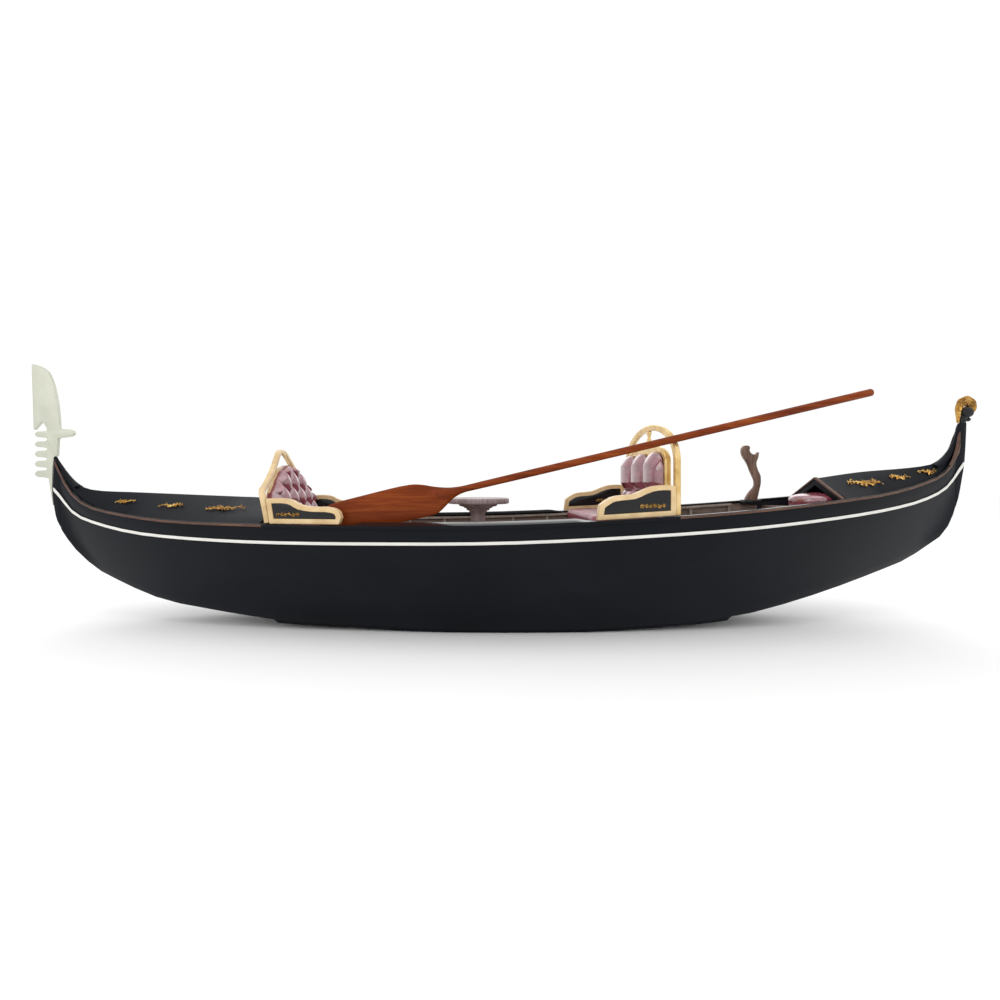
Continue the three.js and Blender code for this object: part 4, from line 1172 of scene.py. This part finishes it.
def horns():
    """Smooth spines that carry both decks' ridges up into the posts, and brown side strips."""
    lines = {
        "stern": ([(688, 248.6), (697, 253.4), (704, 258.6), (710, 265), (716, 273.4), (721, 282.4),
                   (725.4, 294), (728.4, 306), (731.4, 315.4)], 9.0),
        "bow": ([(-686, 214.8), (-694, 220.6), (-702, 229), (-709, 238.4), (-715, 246.6), (-720, 254.4),
                 (-723.8, 261)], 9.0),
    }
    for end, (points, start_wide) in lines.items():
        path = curve_through(points, 36)
        rings = []
        for k, p in enumerate(path):
            way = (path[min(k + 1, 36)] - path[max(k - 1, 0)]).normalized()
            out = Vector((-way.y, way.x)) * (1 if way.x > 0 else -1)
            half = start_wide + (3.3 - start_wide) * min(1, k / 22)
            ring = []
            for j in range(16):
                a = math.tau * j / 16
                spot = p - out * 1.6 + out * (2.0 * math.sin(a) - 0.35 * half * (1 - abs(math.sin(a))))
                ring.append((spot.x, half * math.cos(a), spot.y))
            rings.append(ring)
        settle(skin(f"{end}_horn_spine", rings, 70), "hull", "hull_black")
    for word, side in SIDES.items():
        path = curve_through([(706, 246.5), (713, 254.5), (719, 265.5), (723.6, 277.5), (727, 290),
                              (729.4, 301)], 24)
        rings = []
        for k, p in enumerate(path):
            way = (path[min(k + 1, 24)] - path[max(k - 1, 0)]).normalized()
            out = Vector((-way.y, way.x))
            half = 2.4 if k < 20 else 2.4 - 0.5 * (k - 20)
            y = max(3.1, rim_breadth(p.x) + 0.8)
            rings.append([(p.x + out.x * c * half, side * (y + d), p.y + out.y * c * half)
                          for c, d in ((-1, 0), (-0.8, 1.1), (0.8, 1.1), (1, 0))])
        settle(skin(f"stern_horn_strip_{word}", rings, 60), "hull", "brown_trim")


def inside_breadths(node):
    """The hull side's inner face as {x: sorted (z, |y|) corners}."""
    stations = {}
    for v in frame["nodes"][node].data.vertices:
        x, y, z = (c / MM for c in v.co)
        stations.setdefault(round(x, 1), []).append((z, abs(y)))
    lines = {}
    for x, corners in stations.items():
        levels = {}
        for z, y in corners:
            levels.setdefault(round(z, 2), []).append(y)
        lines[x] = sorted((z, min(ys)) for z, ys in levels.items())
    return dict(sorted(lines.items()))


def inside_at(lines, x, z):
    xs = list(lines)
    k = max(i for i in range(len(xs)) if xs[i] <= x)
    k = min(k, len(xs) - 2)
    f = (x - xs[k]) / (xs[k + 1] - xs[k])
    return (1 - f) * between(lines[xs[k]], z) + f * between(lines[xs[k + 1]], z)


def lining():
    """Brown planking inside the cockpit: four boards a side with a line between each pair."""
    heights = rim_heights("port")
    for word, side in SIDES.items():
        lines = inside_breadths(f"hull_side_{word}")
        groups = []
        for board in range(4):
            rings = []
            for k in range(41):
                x = -365 + 815 * k / 40
                top = between(heights, x) - 4.6
                z0 = 111 + (top - 111) * board / 4 + 0.25
                z1 = 111 + (top - 111) * (board + 1) / 4 - 0.25
                ring = []
                for z, deep in ((z0, 0.2), (z0 + 0.4, 0.8), (z1 - 0.4, 0.8), (z1, 0.2), (z1, 0.05),
                                (z0, 0.05)):
                    ring.append((x, side * (inside_at(lines, x, z) - deep), z))
                rings.append(ring)
            groups.append(rings)
        piece = merged(f"lining_{word}", groups, 50)
        settle(piece, "hull", "stained_planking")


def floor_boards():
    """The sole: boards with open joints, laid on the cockpit floor's own outline."""
    corners = [tuple(c / MM for c in v.co) for v in frame["nodes"]["cockpit_floor"].data.vertices]
    edge = {}
    for x, y, z in corners:
        edge[round(x, 1)] = max(edge.get(round(x, 1), 0), abs(y))
    reach = sorted(edge.items())
    groups = []
    wide = 24.0
    for row in range(-4, 5):
        y0, y1 = row * wide - wide / 2 + 0.3, row * wide + wide / 2 - 0.3
        rings = []
        for k in range(49):
            x = reach[0][0] + (reach[-1][0] - reach[0][0]) * k / 48
            limit = between(reach, x) - 0.5
            a, b = max(-limit, min(limit, y0)), max(-limit, min(limit, y1))
            if b - a < 1.2:
                continue
            rings.append([(x, a, 105.1), (x, b, 105.1), (x, b, 109.5), (x, b - 0.4, 109.95),
                          (x, a + 0.4, 109.95), (x, a, 109.5)])
        if len(rings) > 2:
            groups.append(rings)
    piece = merged("cockpit_floor_finished", groups, 50)
    settle(piece, "hull", "stained_planking", "cockpit_floor")


def gable_trim():
    """The brown edge strip over the after deck's gable board and down its two slopes."""
    corners = [tuple(c / MM for c in v.co) for v in frame["nodes"]["aft_gable_board"].data.vertices]
    peak = max(corners, key=lambda p: p[2])
    foot = max((p for p in corners if abs(p[1]) > 40), key=lambda p: (p[2], abs(p[1])))
    front = min(p[0] for p in corners)
    path = [(abs(foot[1]) + 1, foot[2] - 0.4), (0, peak[2] + 0.2), (-abs(foot[1]) - 1, foot[2] - 0.4)]
    section = [(-1.0, -2.2), (-1.4, -1.2), (-1.2, 0.7), (2.5, 0.9), (4.2, 0.7), (4.2, -0.2),
               (0.2, -0.6), (-0.1, -2.2)]
    rings = [[(front + out, y, z + up) for out, up in section] for y, z in path]
    piece = merged("gable_trim", [rings], 50)
    settle(piece, "hull", "brown_trim")


def dress_hull():
    for word in SIDES:
        dressed(f"hull_side_{word}", bevel=0.5, segments=2, dissolve=False, over=50, smooth=50)
        dressed(f"cap_rail_{word}", bevel=0.9, dissolve=False, over=50)
        dressed(f"moulding_{word}", bevel=0.8, dissolve=False, over=50)
        dressed(f"stripe_{word}", bevel=0.35, segments=2, dissolve=False, over=50)
        dressed(f"ribs_{word}", bevel=0.4, segments=2).data.materials[0] = FINISHES["rib_wood"]
    for node in ("hull_bottom", "keel_board"):
        dressed(node, bevel=0.7, dissolve=False, over=50)
    for node in ("stem_post", "stern_post", "fore_bulkhead", "aft_platform", "thwart", "aft_gable_board"):
        dressed(node, bevel=0.6)
    for node in ("fore_deck", "aft_deck"):
        dressed(node, bevel=0.5, dissolve=False, over=50)


add_camera()
add_lights()
add_floor()
dress_hull()
floor_boards()
lining()
polished_caps()
horns()
gable_trim()
ferro()
acanthus()
scroll()
deck_sprays()
for seat in ("bow_chair", "sofa"):
    dressed(f"{seat}_seat_base", bevel=0.8)
bow_chair_frame()
sofa_frame()
armrests()
cushions()
bow_chair_pad()
sofa_pad()
oar()
forcola()
table()
